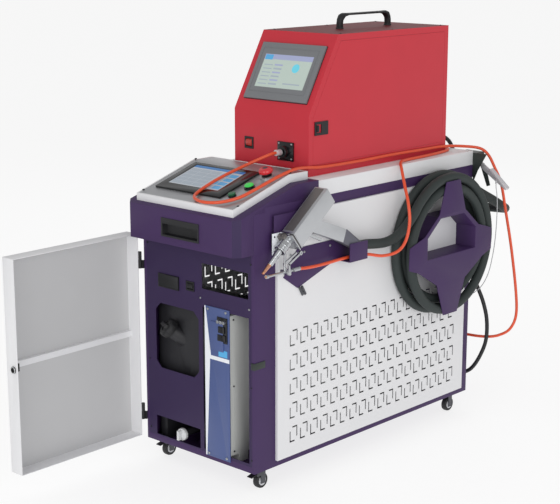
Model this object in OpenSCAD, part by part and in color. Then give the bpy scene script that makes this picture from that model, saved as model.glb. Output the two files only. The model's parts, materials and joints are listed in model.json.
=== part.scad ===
// Laser welding machine: wheeled cabinet, control console, wire feeder, welding gun and hose.
// X runs across the machine, the door side faces -Y and the floor is z = 0.

/* [Cabinet] */
// Width of the cabinet
cabinet_w = 480; // [460:1:500]
// Depth of the cabinet, front plate to rear panel
cabinet_d = 1094; // [1080:1:1110]
// Height of the deck that carries the wire feeder
deck_h = 934; // [925:1:945]
// Height of the cabinet's underside
floor_gap = 68; // [68:1:72]
// Height of the white lip round the deck
lip_h = 49; // [40:1:55]
// Height of the coloured band under the lip
band_h = 31; // [25:1:36]
// Height of the bottom rail
rail_h = 20; // [16:1:24]
// Depth of the front corner posts
front_post_d = 92; // [80:1:95]
// Depth of the rear corner posts
rear_post_d = 39; // [30:1:45]
// Rows of ventilation cuts in a side panel
slot_rows = 5; // [3:1:5]
// Columns of ventilation cuts in a side panel
slot_columns = 18; // [10:1:18]

/* [Console] */
// Reach of the console in front of the cabinet
console_reach = 71; // [66:1:76]
// Height of the console's underside
console_bottom = 750; // [748:1:760]
// Slope of the operating panel in degrees
console_slope = 17.2; // [16:0.1:18]
// Length of the sloping part of the operating panel
console_slope_l = 253; // [250:1:256]
// Width of the white rim round the operating panel
rim_w = 416; // [410:1:422]

/* [Front door] */
// Depth of the door pan
door_depth = 52; // [45:1:54]
// Width of the door pan
door_w = 482; // [478:1:482]
// Height of the door pan
door_h = 668; // [650:1:668]

/* [Laser source] */
// Height of the laser source's front panel, a 19 inch rack size
laser_panel_h = 482.6; // [480:0.1:484]
// Width of the laser source's front panel
laser_panel_w = 105; // [100:1:110]
// Depth of the laser source's chassis
laser_depth = 600; // [560:1:610]

/* [Wire feeder] */
// Width of the wire feeder
feeder_w = 316; // [310:1:320]
// Depth of the wire feeder
feeder_d = 708; // [700:1:714]
// Height of the wire feeder
feeder_h = 428; // [420:1:436]
// Height of the feeder's upright front
feeder_knee = 188; // [182:1:194]
// Depth that the sloping front takes
feeder_setback = 136; // [130:1:142]
// Diameter of the wire spool
spool_d = 200; // [180:1:210]

/* [Gun] */
// Length of the gun's barrel
barrel_l = 186; // [180:1:190]
// Height of the gun's barrel
barrel_h = 57; // [54:1:60]
// Width of the gun's barrel
barrel_w = 50; // [46:1:50]
// Dip of the barrel below the level in degrees
barrel_dip = 37.8; // [36:0.1:39]

/* [Hose] */
// Outer diameter of the hose
hose_d = 32; // [30:1:32]
// Radius of the outermost turn of the hose
coil_r = 238; // [232:1:240]
// Rise of the hose from turn to turn
coil_pitch = 36; // [34:1:38]

/* [Casters] */
// Diameter of a caster wheel
wheel_d = 50; // [48:1:50]
// Width of a caster wheel
wheel_w = 20; // [18:1:21]

/* [Hidden] */

// Overrun of every cut
over = 1;
// Thickness of the sheet metal
sheet = 2;
// Gap between soft or moving faces
gap = 0.3;
// Radial clearance of a running fit
fit = 0.08;
// Rounded cut and cylinder smoothness
$fn = 48;

// Cabinet
front_y = -cabinet_d / 2;
rear_y = cabinet_d / 2;
side_x = cabinet_w / 2;
post_w = 11;
lip_z = deck_h - lip_h;
band_z = lip_z - band_h;
rail_z = floor_gap + rail_h;
floor_z = floor_gap + sheet;
panel_proud = 9;
skin_x = side_x + panel_proud;
panel_y0 = front_y + front_post_d;
panel_y1 = rear_y - rear_post_d;

// Ventilation cuts of the side panels
slot_pitch_y = 47.9;
slot_pitch_z = 77.3;
left_slot_rows = 7;
left_slot_pitch_z = 70;
left_slot_first_y = 37;
slot_unit_w = 36;
slot_unit_h = 51;
slot_line = 5;
slot_first_y = 55;
slot_low_z = 44;
slot_leg_share = 0.71;
slot_foot_share = 0.66;

// Front plate openings, measured from the machine's middle and the floor
laser_bay_x = [22, 218];
laser_bay_z = [97, 555];
filler_x = [-190, 4];
filler_z = [320, 533];
filler_corner = 22;
drain_x = [-195, 6];
drain_z = [92, 156];
vent_x = [20, 216];
vent_z = [612, 692];
thermostat_x = [-168, -84];
thermostat_z = [591, 627];
thermostat_depth = 60;
thermostat_rim = 4;
switch_x = -30;
switch_z = 611;
switch_w = 26;
switch_h = 20;
switch_rim = 5;
switch_proud = 3;

// Console
console_front_y = front_y - console_reach;
console_rear_y = -261;
console_kink_y = -355;
console_corner = 20;
console_rear_ledge = 14;
console_front_ledge = 18;
console_rise = 77;
rim_stand = 28;
console_step_d = 47;
console_step_h = 15;
console_step_y = front_y + console_step_d;
console_step_z = lip_z - console_step_h;
console_top_z = deck_h + sheet;
ledge_front_z = console_top_z - console_rise;
rim_front_y = console_front_y + console_front_ledge;
rim_front_z = ledge_front_z + rim_stand;
rim_kink_y = rim_front_y + console_slope_l * cos(console_slope);
rim_kink_z = rim_front_z + console_slope_l * sin(console_slope);
rim_rear_y = console_rear_y - console_rear_ledge;
rim_wall = 5;
rim_shelf = 6;
plate_drop = 1;

// Operating panel, measured up the slope from its front edge
screen_x = [-175, 106];
screen_s = [52, 232];
screen_lit_x = [-150, 65];
screen_lit_s = [85, 215];
screen_proud = 6;
screen_sunk = 12;
screen_frame_w = 8;
stop_place = [152, 214];
stop_d = 40;
stop_stem_d = 22;
stop_collar_d = 46;
stop_collar_h = 8;
stop_rise = 33;
stop_cap_h = 14;
start_place = [147, 139];
start_d = 26;
start_rise = 7;
start_collar_d = 34;
reset_place = [133, 77];
reset_d = 18;
reset_rise = 5;
reset_collar_d = 25;
collar_h = 4;
button_barrel_l = 20;
button_barrel_wall = 3;
button_stem_l = 14;

// Pull handle let into the console's front
pull_x = [-75, 80];
pull_z = [777, 827];
pull_depth = 22;
pull_flange = 4;
pull_grip_h = 14;

// Water tank behind the front plate
tank_x = [-205, 10];
tank_y = [-520, -330];
tank_z = [170, 545];
tank_foot_w = 30;
neck_place = [-110, -520, 430];
neck_tilt = 50;
neck_turn = 28;
neck_d = 46;
neck_l = 44;
neck_bore_d = 38;
cap_d = 62;
cap_h = 16;
cap_grip_w = 14;
cap_grip_h = 9;
drain_place = [-89, 112];
drain_pipe_d = 22;
drain_bore_d = 14;
drain_y = [-528, -470];
drain_cap_d = 40;
drain_cap_h = 12;
drain_knob_w = 8;
drain_knob_h = 16;

// Laser source
laser_x = 34;
laser_z = 81;
laser_proud = 3;
laser_ear = 18;
laser_side_gap = 2;
laser_foot_w = 40;

// Cooling unit and control box
condenser_x = -222;
condenser_t = 40;
condenser_y = [130, 470];
condenser_h = 410;
fan_d = 270;
fan_hub_d = 70;
fan_t = 24;
fan_blades = 7;
fan_blade_t = 3;
fan_pitch_a = 30;
fan_shaft_d = 8;
fan_motor_d = 60;
fan_motor_l = 45;
fan_gap = 6;
shroud_t = 3;
compressor_place = [100, 330];
compressor_d = 150;
compressor_h = 230;
pump_place = [-70, 130];
pump_size = [90, 130, 110];
pump_motor_d = 84;
control_x = [-205, -30];
control_y = [-290, 60];
control_h = 330;

// Front door, shown open: the pan runs forward from its hinge
hinge_x = -side_x - 10;
hinge_y = front_y - 9;
hinge_d = 12;
hinge_pin_d = 6;
hinge_h = 54;
hinge_z = [131, 633];
hinge_leaf = 38;
door_z = 78;
door_near = 8;
door_inner = 2;
door_rib_z = 404;
door_rib_h = 19;
door_rib_d = 14;
lock_place = [19, 407];
lock_d = 18;
lock_face_d = 22;
lock_face_t = 3;
lock_tongue_l = 24;
lock_tongue_w = 12;
lock_tongue_t = 3;
lock_barrel_l = 14;
strike_z = [398, 419];
strike_side_l = 45;
strike_front_l = 12;

// Casters
caster_x = 205;
caster_y = 486;
caster_trail = 22;
caster_plate_w = 58;
caster_plate_t = 3;
caster_bolt_pitch = 44;
caster_bolt_d = 6.5;
swivel_d = 36;
swivel_t = 3;
crown_t = 3;
arm_t = 2.5;
arm_w = 20;
arm_gap = 1;
axle_d = 8;
hub_d = 30;
hub_recess = 1.5;
pedal_l = 26;
pedal_t = 3;
pedal_pin_d = 4;
pedal_barrel_d = 9;
pedal_plate_drop = 0.8;
pedal_rise = 24;
pedal_reach = 22;
pedal_side_gap = 0.5;

// Wire feeder
feeder_x0 = -139;
feeder_front_y = -237;
feeder_edge = 20;
feeder_slope_a = atan2(feeder_h - feeder_knee, feeder_setback);
feeder_x1 = feeder_x0 + feeder_w;
feeder_rear_y = feeder_front_y + feeder_d;
feeder_top_z = deck_h + feeder_h;
feeder_door_gap = 0.6;
feeder_door_foot = 34;
latch_y = [26, 88];
latch_z = [1059, 1101];
latch_t = 3;
latch_slot = [22, 26];
latch_thumb = [9, 20];
latch_proud = 3;
feeder_screen_x = [-113, 152];
feeder_screen_s = [38, 231];
feeder_screen_lit_x = [-83, 120];
feeder_screen_lit_s = [78, 191];
feeder_screen_proud = 7;
feeder_screen_sunk = 28;
feeder_screen_rim = 19;
rocker_place = [-75, 1017];
rocker_w = 26;
rocker_h = 26;
rocker_rim = 6;
rocker_proud = 3;
outlet_place = [84, 1005];
outlet_flange = [66, 59];
outlet_t = 5;
outlet_boss_d = 36;
outlet_boss_l = 16;
outlet_nut_d = 19;
outlet_nut_l = 22;
outlet_stub_d = 13;
outlet_end_y = -285;
handle_x = 19;
handle_y = [75, 356];
handle_bar_w = 22;
handle_bar_t = 9;
handle_rise = 50;
handle_leg_d = 14;
handle_leg_inset = 16;
handle_foot_d = 26;
handle_foot_t = 4;

// Wire drive inside the feeder
divider_x = 40;
divider_margin = 34;
spool_place = [200, 1150];
spool_w = 54;
spool_flange_t = 3;
spool_bore_d = 50;
spindle_cap_d = 64;
spindle_cap_t = 4;
roller_y = -130;
roller_d = 40;
roller_w = 12;
roller_bore_d = 10;
roller_nip = 0.4;
motor_d = 70;
motor_l = 120;
motor_boss_d = 24;

// Gun, in its holder on the right side
gun_x = 282;
gun_back = [-280, 900];
handle_drop = 21;
handle_l = 152;
handle_t = 42;
handle_w = 34;
handle_root = [-346, 817];
boot_end = [-120, 714];
nozzle_offset = 12;
lens_d = 34;
lens_l = 56;
tube_d = 20;
tube_l = 26;
slim_tube_d = 15;
slim_tube_l = 34;
tip_d = 13;
tip_l = 35;
tip_bore_d = 6;
guide_y = [-541, -392];
guide_z = 691;
guide_d = 8;
guide_stem_d = 7;
guide_stem_y = -459;
knob_d = 16;
side_plate = [42, 64];
side_plate_pin_d = 8;
side_plate_t = 3;
trigger_l = 66;
trigger_t = 8;
trigger_w = 12;
trigger_pivot = [-360, 790];
trigger_tilt = -24;
trigger_pin_d = 4;
trigger_lug_d = 10;

// Gun holder
holder_t = 3;
holder_y = [-431, -368, -220, -134];
holder_z = [663, 620, 669, 673];
holder_top_z = 744;
socket_y = [-186, -101];
socket_z = [678, 734];

// Hose hanger, a cross plate on a hexagonal box
hanger_y = 313;
hanger_z = 644;
hanger_depth = 81;
hanger_t = 3;
hanger_span = 230;
arm_shares = [
    [0.165, 0.983], [0.313, 0.526], [0.652, 0.252], [0.991, 0.148], [1, -0.174],
    [0.783, -0.248], [0.343, -0.504], [0.165, -0.983]
];
hole_shares = [[0.283, 0.470], [0.583, 0.222], [0.583, -0.091]];

// Hose coil on the hanger
coil_y = 321;
coil_z = 645;
coil_back_x = skin_x + gap + hose_d / 2;
coil_front_x = skin_x + hanger_depth - hanger_t - gap - hose_d / 2;
coil_start_a = 135;
coil_turns = 3;
coil_end_a = 60;
coil_rings = 24;
coil_sides = 6;

// Cable hook and earth clamp at the rear corner
hook_t = 3;
hook_x = [180, 296];
hook_z = [843, 927];
hook_shelf_d = 48;
hook_nose = [261, 867];
hook_low = [246, 831];
hook_shelf_x = 254;
hook_lip_h = 24;
clamp_pivot = [262, 574, 880];
clamp_arm_l = 120;
clamp_arm_w = 18;
clamp_arm_a = 33;
clamp_jaw_l = 72;
clamp_jaw_w = 14;
clamp_jaw_a = 70;
clamp_t = 3;
clamp_gap = 0.4;
clamp_pin_d = 6;
clamp_eye_r = 10;
clamp_nose_w = 8;
clamp_nose_h = 34;
clamp_lug_d = 6;
clamp_lug_z = [824, 842];

// Cord sizes
wire_tube_d = 10;
feeder_cable_d = 14;
earth_lead_d = 3;
cord_sides = 8;

// More sizes of small features
band_flange = 30;
king_pin_d = 10;
switch_depth = 12;
screen_recess = 1;
rear_vent_rows = 6;
rear_vent_w = 260;
rear_vent_x = -60;
rear_vent_z = 420;
rear_vent_pitch = 22;
rear_vent_h = 8;
gland_wall = 4;
mains_gland = [-150, 170];
mains_gland_d = 30;
mains_gland_l = 24;
stop_crown_h = 5;
stop_crown_d = 30;
neck_bore_l = 16;
cap_skirt_l = 10;
cap_plug_l = 8;
drain_plug_l = 8;
rocker_a = 8;
rocker_flat_share = 0.94;
laser_screw_inset = 14;
laser_screw_d = 6.5;
laser_socket_t = 4;
laser_socket_x = [62, 116];
laser_socket_z = [430, 520];
control_lid_inset = 6;
condenser_tubes = 8;
condenser_tube_d = 9;
fan_strut_w = 18;
fan_blade_w = 40;
hinge_leaf_t = 2.5;
pedal_slope_a = 12;
latch_border = 8;
wound_share = 0.82;
trigger_lug_t = 3;
boot_end_d = 39.4;
guide_stem_h = 80;
tip_end_d = 8;
side_plate_y = -488;
side_plate_z = 743;
hole_wall_share = 0.5;

// Route of the hose from the gun's boot to the coil
hose_lead_route = [
    [282, -120, 714], [282, -84, 714], [284, -44, 709], [288, -4, 706], [293, 36, 711],
    [299, 72, 728], [305, 103, 755], [310, 130, 786]
];
// Route of the hose from the coil round the corner to the rear panel
hose_tail_route = [
    [268, 470, 834], [272, 510, 812], [278, 560, 785], [284, 615, 757], [285, 665, 731], [272, 710, 713],
    [240, 738, 704], [195, 745, 700], [150, 730, 700], [112, 700, 700], [88, 655, 700], [80, 610, 700],
    [80, 563, 700]
];
// Route of the wire conduit from the feeder over the console, round the back and on to the gun
wire_tube_route = [
    [84, -285.3, 1005], [84, -297, 1005], [81, -313, 1001.5], [66, -336, 991], [40, -385, 970], [22, -465, 943.5],
    [15, -530, 919.5], [24, -576, 903.5], [62, -598, 897.5], [107, -601, 897.5], [150, -584, 902.5],
    [180, -546, 913.5], [192, -491, 931.5], [200, -402, 958.5], [198, -325, 971.5], [186, -258, 967.5],
    [183, -180, 960], [182.6, 0, 957], [182.6, 160, 958], [182.6, 320, 956], [184, 450, 954],
    [208, 530, 948], [248, 575, 940], [274, 590, 918], [292, 605, 874], [311, 620, 818],
    [321, 640, 718], [340, 655, 586], [359, 665, 434], [367, 660, 348], [352, 648, 297],
    [319, 634, 271], [278, 621, 259], [216, 606, 256], [150, 590, 264], [96, 578, 300], [60, 574, 380],
    [47, 574, 540], [47, 574, 720], [60, 574, 850], [78, 570, 912], [100, 552, 943],
    [130, 520, 942], [182, 480, 939.4], [202, 400, 939.4], [210, 300, 939.4], [215, 200, 939.6],
    [238, 146, 941], [262, 120, 922], [292, 98, 878], [324, 78, 823], [336, 70, 767], [336, 52, 711],
    [328, 20, 680], [310, -30, 672], [296, -88, 684], [288, -140, 688], [286, -200, 688],
    [285, -290, 686], [284, -350, 687], [282, -392, 690]
];
// Route of the feeder's cable over the deck, down the back and into the rear panel
feeder_cable_route = [
    [120, 485, 985], [120, 506, 984], [124, 532, 974], [134, 558, 950], [144, 572, 905], [150, 578, 840],
    [160, 580, 740], [180, 582, 620], [214, 586, 520], [244, 590, 450], [268, 598, 390],
    [282, 604, 325], [280, 606, 250], [258, 602, 185], [228, 596, 136], [194, 588, 114], [170, 581, 110],
    [170, 565.4, 110]
];
// Route of the earth clamp's thin lead
earth_lead_route = [
    [320, 575.5, 824], [320, 576, 812], [320, 582, 790], [319, 588, 755], [317, 592, 700], [314, 592, 635],
    [306, 592, 570], [290, 592, 500], [266, 588, 450], [240, 578, 422], [222, 566, 412], [214, 553, 410]
];

// Ends of the cords
hose_end = hose_tail_route[len(hose_tail_route) - 1];
cable_start = feeder_cable_route[0];
cable_end = feeder_cable_route[len(feeder_cable_route) - 1];
lead_start = earth_lead_route[0];
lead_end = earth_lead_route[len(earth_lead_route) - 1];

// Box between two bounds on each axis
module block(x, y, z) {
    translate([x[0], y[0], z[0]]) cube([x[1] - x[0], y[1] - y[0], z[1] - z[0]]);
}

// Box centred on x = 0
module centred(w, y, z) {
    block([-w / 2, w / 2], y, z);
}

// Rod along X, Y or Z that starts at a place
module rod_x(p, d, l) {
    translate(p) rotate([0, 90, 0]) cylinder(d = d, h = l);
}

module rod_y(p, d, l) {
    translate(p) rotate([-90, 0, 0]) cylinder(d = d, h = l);
}

module rod_z(p, d, l) {
    translate(p) cylinder(d = d, h = l);
}

// Outline in (y, z), extruded along X from x0 to x1
module side_profile(points, x0, x1) {
    translate([x0, 0, 0])
        rotate([90, 0, 90])
            linear_extrude(x1 - x0) polygon(points);
}

// Outline in (x, z), extruded along Y from y0 to y1
module front_profile(points, y0, y1) {
    translate([0, y1, 0])
        rotate([90, 0, 0])
            linear_extrude(y1 - y0) polygon(points);
}

// Directions and frames along a route
function unit(v) = v / norm(v);
function heading(route, i) = unit(route[min(i + 1, len(route) - 1)] - route[max(i - 1, 0)]);
function across(n, t) = unit(n - (n * t) * t);
function first_normal(t) = abs(t[2]) < 0.8 ? across([0, 0, 1], t) : across([1, 0, 0], t);
function normals(route) = [
    for (i = 0, n = first_normal(heading(route, 0));
        i < len(route);
        i = i + 1, n = i < len(route) ? across(n, heading(route, i)) : n) n
];

// One unbroken round tube of triangles along a route
module swept_tube(route, d, sides) {
    normal = normals(route);
    rings = len(route);
    points = [
        for (i = [0 : rings - 1])
            let (n = normal[i], b = cross(heading(route, i), n))
                for (k = [0 : sides - 1])
                    let (a = 360 * k / sides)
                        route[i] + d / 2 * (cos(a) * n + sin(a) * b)
    ];
    walls = [
        for (i = [0 : rings - 2])
            for (k = [0 : sides - 1])
                let (m = (k + 1) % sides, lo = i * sides, hi = (i + 1) * sides)
                    for (face = [[lo + k, hi + k, lo + m], [lo + m, hi + k, hi + m]]) face
    ];
    start_cap = [for (k = [1 : sides - 2]) [0, k, k + 1]];
    last = (rings - 1) * sides;
    end_cap = [for (k = [1 : sides - 2]) [last, last + k + 1, last + k]];
    polyhedron(points = points, faces = concat(walls, start_cap, end_cap));
}

// Hose coil: spirals in on the front layer, climbs back as it reverses, then spirals out
coil_sweep = coil_turns * 360 + coil_start_a - coil_end_a;
coil_steps = round(coil_sweep / 360 * coil_rings);
function coil_radius(a) = coil_r - coil_pitch * min(a, coil_sweep - a) / 360;
function coil_share(a) = min(1, max(0, (a - coil_sweep / 2) / 180 + 0.5));
function coil_x(a) = coil_front_x + (coil_back_x - coil_front_x) * coil_share(a);
function coil_point(a) = [
    coil_x(a),
    coil_y + coil_radius(a) * cos(coil_start_a - a),
    coil_z + coil_radius(a) * sin(coil_start_a - a)
];
coil_route = [for (i = [0 : coil_steps]) coil_point(coil_sweep * i / coil_steps)];
coil_first = coil_point(0);
coil_last = coil_point(coil_sweep);
hose_joint = [10, gap];
coil_gap = min([
    for (i = [0 : coil_steps])
        for (j = [i + coil_rings / 2 : coil_steps])
            norm(coil_route[i] - coil_route[j])
]) - hose_d;
echo(hose_coil_least_gap = coil_gap);

// Cabinet
module corner_post(y, depth) {
    difference() {
        block([side_x - post_w, side_x], [y, y + depth], [rail_z - over, band_z + over]);
        block([side_x - post_w + sheet, side_x - sheet], [y + sheet, y + depth - sheet],
            [rail_z - sheet, band_z + sheet]);
    }
}

module caster_seat(x, y) {
    translate([x, y, floor_gap - caster_plate_t])
        difference() {
            block([-caster_plate_w / 2, caster_plate_w / 2], [-caster_plate_w / 2, caster_plate_w / 2],
                [0, caster_plate_t]);
            for (sx = [-1, 1])
                for (sy = [-1, 1])
                    rod_z([sx * caster_bolt_pitch / 2, sy * caster_bolt_pitch / 2, -over],
                        caster_bolt_d, caster_plate_t + 2 * over);
        }
}

module king_pin(x, y) {
    rod_z([x, y, floor_gap - caster_plate_t - swivel_t - crown_t], king_pin_d, swivel_t + crown_t + over);
}

module cabinet_frame() {
    color("#43355c") {
        difference() {
            block([-side_x, side_x], [front_y, rear_y], [floor_gap, rail_z]);
            block([-side_x + sheet, side_x - sheet], [front_y + sheet, rear_y - sheet],
                [floor_z, rail_z + over]);
        }
        for (side = [0, 1])
            mirror([side, 0, 0]) {
                corner_post(front_y, front_post_d);
                corner_post(rear_y - rear_post_d, rear_post_d);
            }
        difference() {
            block([-side_x, side_x], [front_y, rear_y], [band_z, lip_z]);
            block([-side_x + sheet, side_x - sheet], [front_y + sheet, rear_y - sheet],
                [band_z - over, lip_z - sheet]);
            block([-side_x + band_flange, side_x - band_flange],
                [front_y + band_flange, rear_y - band_flange],
                [band_z - over, lip_z + over]);
            block([-side_x - over, side_x + over], [front_y - over, console_step_y],
                [console_step_z, lip_z + over]);
        }
    }
    color("#2b2b2e")
        for (sx = [-1, 1])
            for (sy = [-1, 1])
                caster_seat(sx * caster_x, caster_pivot_y(sy));
    color("#8a8d90")
        for (sx = [-1, 1]) king_pin(sx * caster_x, caster_pivot_y(-1));
}

module top_cover() {
    color("#e9e9ea")
        difference() {
            block([-side_x, side_x], [console_rear_y, rear_y], [lip_z, deck_h]);
            block([-side_x + sheet, side_x - sheet], [console_rear_y - over, rear_y - sheet],
                [lip_z - over, deck_h - sheet]);
        }
}

// One angled cut with its corner at the start
module one_cut(foot, leg, line) {
    polygon([[0, 0], [foot, 0], [foot, line], [line, line], [line, leg], [0, leg]]);
}

// Two angled cuts that face each other across a unit
module angle_pair(w, h, line) {
    leg = h * slot_leg_share;
    foot = w * slot_foot_share;
    one_cut(foot, leg, line);
    translate([w, h]) mirror([1, 0]) mirror([0, 1]) one_cut(foot, leg, line);
}

module side_panel(rows, pitch_z, first_y) {
    difference() {
        block([side_x, skin_x], [panel_y0, panel_y1], [rail_z, band_z]);
        block([side_x - over, skin_x - sheet], [panel_y0 + sheet, panel_y1 - sheet],
            [rail_z + sheet, band_z - sheet]);
        translate([skin_x - sheet - over, panel_y0 + first_y, rail_z + slot_low_z])
            rotate([90, 0, 90])
                linear_extrude(sheet + 2 * over)
                    for (i = [0 : slot_columns - 1])
                        for (j = [0 : rows - 1])
                            translate([i * slot_pitch_y, j * pitch_z])
                                angle_pair(slot_unit_w, slot_unit_h, slot_line);
    }
}

module side_panel_right() {
    color("#eeeeef") side_panel(slot_rows, slot_pitch_z, slot_first_y);
}

module side_panel_left() {
    color("#eeeeef") mirror([1, 0, 0]) side_panel(left_slot_rows, left_slot_pitch_z, left_slot_first_y);
}

module front_plate() {
    plate_y = [front_y, front_y + sheet];
    cut_y = [front_y - over, front_y + sheet + over];
    color("#3b2f52")
        difference() {
            union() {
                block([-side_x + post_w, side_x - post_w], plate_y, [rail_z, band_z]);
                block([switch_x - switch_w / 2 - switch_rim, switch_x + switch_w / 2 + switch_rim],
                    [front_y - sheet, front_y + switch_depth],
                    [switch_z - switch_h / 2 - switch_rim, switch_z + switch_h / 2 + switch_rim]);
            }
            block([switch_x - switch_w / 2, switch_x + switch_w / 2],
                [front_y - sheet - over, front_y + switch_depth + over],
                [switch_z - switch_h / 2, switch_z + switch_h / 2]);
            block(laser_bay_x, cut_y, laser_bay_z);
            block(drain_x, cut_y, drain_z);
            block(thermostat_x, cut_y, thermostat_z);
            front_profile([
                [filler_x[0], filler_z[0] + filler_corner], [filler_x[0] + filler_corner, filler_z[0]],
                [filler_x[1] - filler_corner, filler_z[0]], [filler_x[1], filler_z[0] + filler_corner],
                [filler_x[1], filler_z[1] - filler_corner], [filler_x[1] - filler_corner, filler_z[1]],
                [filler_x[0] + filler_corner, filler_z[1]], [filler_x[0], filler_z[1] - filler_corner]
            ], cut_y[0], cut_y[1]);
            block(vent_x, cut_y, vent_z);
        }
}

module rear_boss(x, z, d, l) {
    rod_y([x, rear_y - over, z], d, l + over);
}

module rear_panel() {
    color("#3b2f52")
        difference() {
            block([-side_x + post_w, side_x - post_w], [rear_y - sheet, rear_y], [rail_z, band_z]);
            for (i = [0 : rear_vent_rows - 1])
                block([-rear_vent_w / 2 + rear_vent_x, rear_vent_w / 2 + rear_vent_x],
                    [rear_y - sheet - over, rear_y + over],
                    [rear_vent_z + i * rear_vent_pitch, rear_vent_z + i * rear_vent_pitch + rear_vent_h]);
        }
    color("#1d1d1f") {
        rear_boss(hose_end[0], hose_end[2], hose_d + 2 * gland_wall, hose_end[1] - rear_y);
        rear_boss(cable_end[0], cable_end[2], feeder_cable_d + 2 * gland_wall, cable_end[1] - rear_y);
        rear_boss(lead_end[0], lead_end[2], earth_lead_d + gland_wall, lead_end[1] - rear_y);
        rear_boss(mains_gland[0], mains_gland[1], mains_gland_d, mains_gland_l);
    }
}

// Console
function shell_outline(m) = [
    [console_front_y + m, console_bottom + m],
    [console_front_y + m, ledge_front_z - m],
    [console_kink_y, console_top_z - m],
    [console_rear_y - m, console_top_z - m],
    [console_rear_y - m, m > 0 ? console_step_z - over : lip_z],
    [console_step_y, m > 0 ? console_step_z - over : lip_z],
    [console_step_y, m > 0 ? console_step_z - over : console_step_z],
    [front_y - m, m > 0 ? console_step_z - over : console_step_z],
    [front_y - m, console_bottom + m]
];

module console_corner_cut(m) {
    x = side_x - m;
    y = console_front_y + m;
    translate([0, 0, console_bottom - over])
        linear_extrude(console_top_z - console_bottom + 2 * over)
            polygon([
                [x + over, y + console_corner + over], [x - console_corner - over, y - over],
                [x + over, y - over]
            ]);
}

module console_body(m) {
    difference() {
        side_profile(shell_outline(m), -side_x + m, side_x - m);
        console_corner_cut(m);
        mirror([1, 0, 0]) console_corner_cut(m);
    }
}

function ledge_z(y) = ledge_front_z
    + (y - console_front_y) * console_rise / (console_kink_y - console_front_y);

// Line of the operating panel in (y, z), lowered square to itself
function panel_kink(drop) = [rim_kink_y + drop * tan(console_slope / 2), rim_kink_z - drop];
function panel_line(drop, y0, y1) = [
    [y0, panel_kink(drop)[1] - (panel_kink(drop)[0] - y0) * tan(console_slope)],
    panel_kink(drop),
    [y1, panel_kink(drop)[1]]
];
function reversed(v) = [for (i = [len(v) - 1 : -1 : 0]) v[i]];

module on_panel(place) {
    translate([0, rim_front_y, rim_front_z])
        rotate([console_slope, 0, 0])
            translate([place[0], place[1], 0]) children();
}

module rim_well(inset, drop) {
    y0 = rim_front_y + inset;
    y1 = rim_rear_y - inset;
    high = rim_kink_z + rim_stand;
    side_profile(concat(panel_line(drop, y0, y1), [[y1, high], [y0, high]]),
        -rim_w / 2 + inset, rim_w / 2 - inset);
}

module console_shell() {
    color("#43355c")
        difference() {
            console_body(0);
            console_body(sheet);
            rim_well(rim_wall + rim_shelf, console_rise);
            block(pull_x, [console_front_y - over, console_front_y + sheet + over], pull_z);
        }
}

module console_rim() {
    color("#f0f0f1")
        difference() {
            side_profile(concat(panel_line(0, rim_front_y, rim_rear_y), [
                [rim_rear_y, console_top_z], [console_kink_y, console_top_z], [rim_front_y,
                    ledge_z(rim_front_y)]
            ]), -rim_w / 2, rim_w / 2);
            rim_well(rim_wall + rim_shelf, console_rise);
            rim_well(rim_wall, plate_drop + sheet);
        }
}

module button_collar(place, d, h, bore_d) {
    on_panel(place)
        difference() {
            union() {
                rod_z([0, 0, -plate_drop - over], d, h + over);
                rod_z([0, 0, -plate_drop - button_barrel_l], bore_d + 2 * button_barrel_wall,
                    button_barrel_l);
            }
            rod_z([0, 0, -plate_drop - button_barrel_l - over], bore_d + 2 * fit,
                button_barrel_l + h + 3 * over);
        }
}

module console_plate() {
    y0 = rim_front_y + rim_wall + gap;
    y1 = rim_rear_y - rim_wall - gap;
    color("#b9bcc0")
        difference() {
            side_profile(concat(panel_line(plate_drop, y0, y1),
                reversed(panel_line(plate_drop + sheet, y0, y1))),
                -rim_w / 2 + rim_wall + gap, rim_w / 2 - rim_wall - gap);
            on_panel([0, 0])
                block([screen_x[0] + screen_frame_w, screen_x[1] - screen_frame_w],
                    [screen_s[0] + screen_frame_w, screen_s[1] - screen_frame_w],
                    [-plate_drop - sheet - over, over]);
            for (button = [[stop_place, stop_stem_d], [start_place, start_d], [reset_place, reset_d]])
                on_panel(button[0])
                    rod_z([0, 0, -plate_drop - sheet - over], button[1] + 2 * fit, sheet + 3 * over);
        }
    color("#8f9296") {
        button_collar(stop_place, stop_collar_d, stop_collar_h, stop_stem_d);
        button_collar(start_place, start_collar_d, collar_h, start_d);
        button_collar(reset_place, reset_collar_d, collar_h, reset_d);
    }
}

module touchscreen() {
    face = screen_proud - plate_drop;
    color("#141519")
        on_panel([0, 0])
            difference() {
                union() {
                    block(screen_x, screen_s, [-plate_drop, face]);
                    block([screen_x[0] + screen_frame_w + gap, screen_x[1] - screen_frame_w - gap],
                        [screen_s[0] + screen_frame_w + gap, screen_s[1] - screen_frame_w - gap],
                        [-plate_drop - sheet - screen_sunk, -plate_drop]);
                }
                block(screen_lit_x, screen_lit_s, [face - screen_recess, face + over]);
            }
}

module pull_handle() {
    outer_x = [pull_x[0] + gap, pull_x[1] - gap];
    outer_z = [pull_z[0] + gap, pull_z[1] - gap];
    color("#1c1b20")
        difference() {
            union() {
                block(outer_x, [console_front_y, console_front_y + pull_depth], outer_z);
                block([pull_x[0] - pull_flange, pull_x[1] + pull_flange],
                    [console_front_y - sheet, console_front_y],
                    [pull_z[0] - pull_flange, pull_z[1] + pull_flange]);
            }
            block([outer_x[0] + sheet, outer_x[1] - sheet],
                [console_front_y + sheet, console_front_y + pull_depth - sheet],
                [outer_z[0] + sheet, outer_z[1] - sheet]);
            block([outer_x[0] + sheet, outer_x[1] - sheet],
                [console_front_y - sheet - over, console_front_y + sheet + over],
                [outer_z[0] + sheet, outer_z[1] - pull_grip_h]);
        }
}

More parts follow.
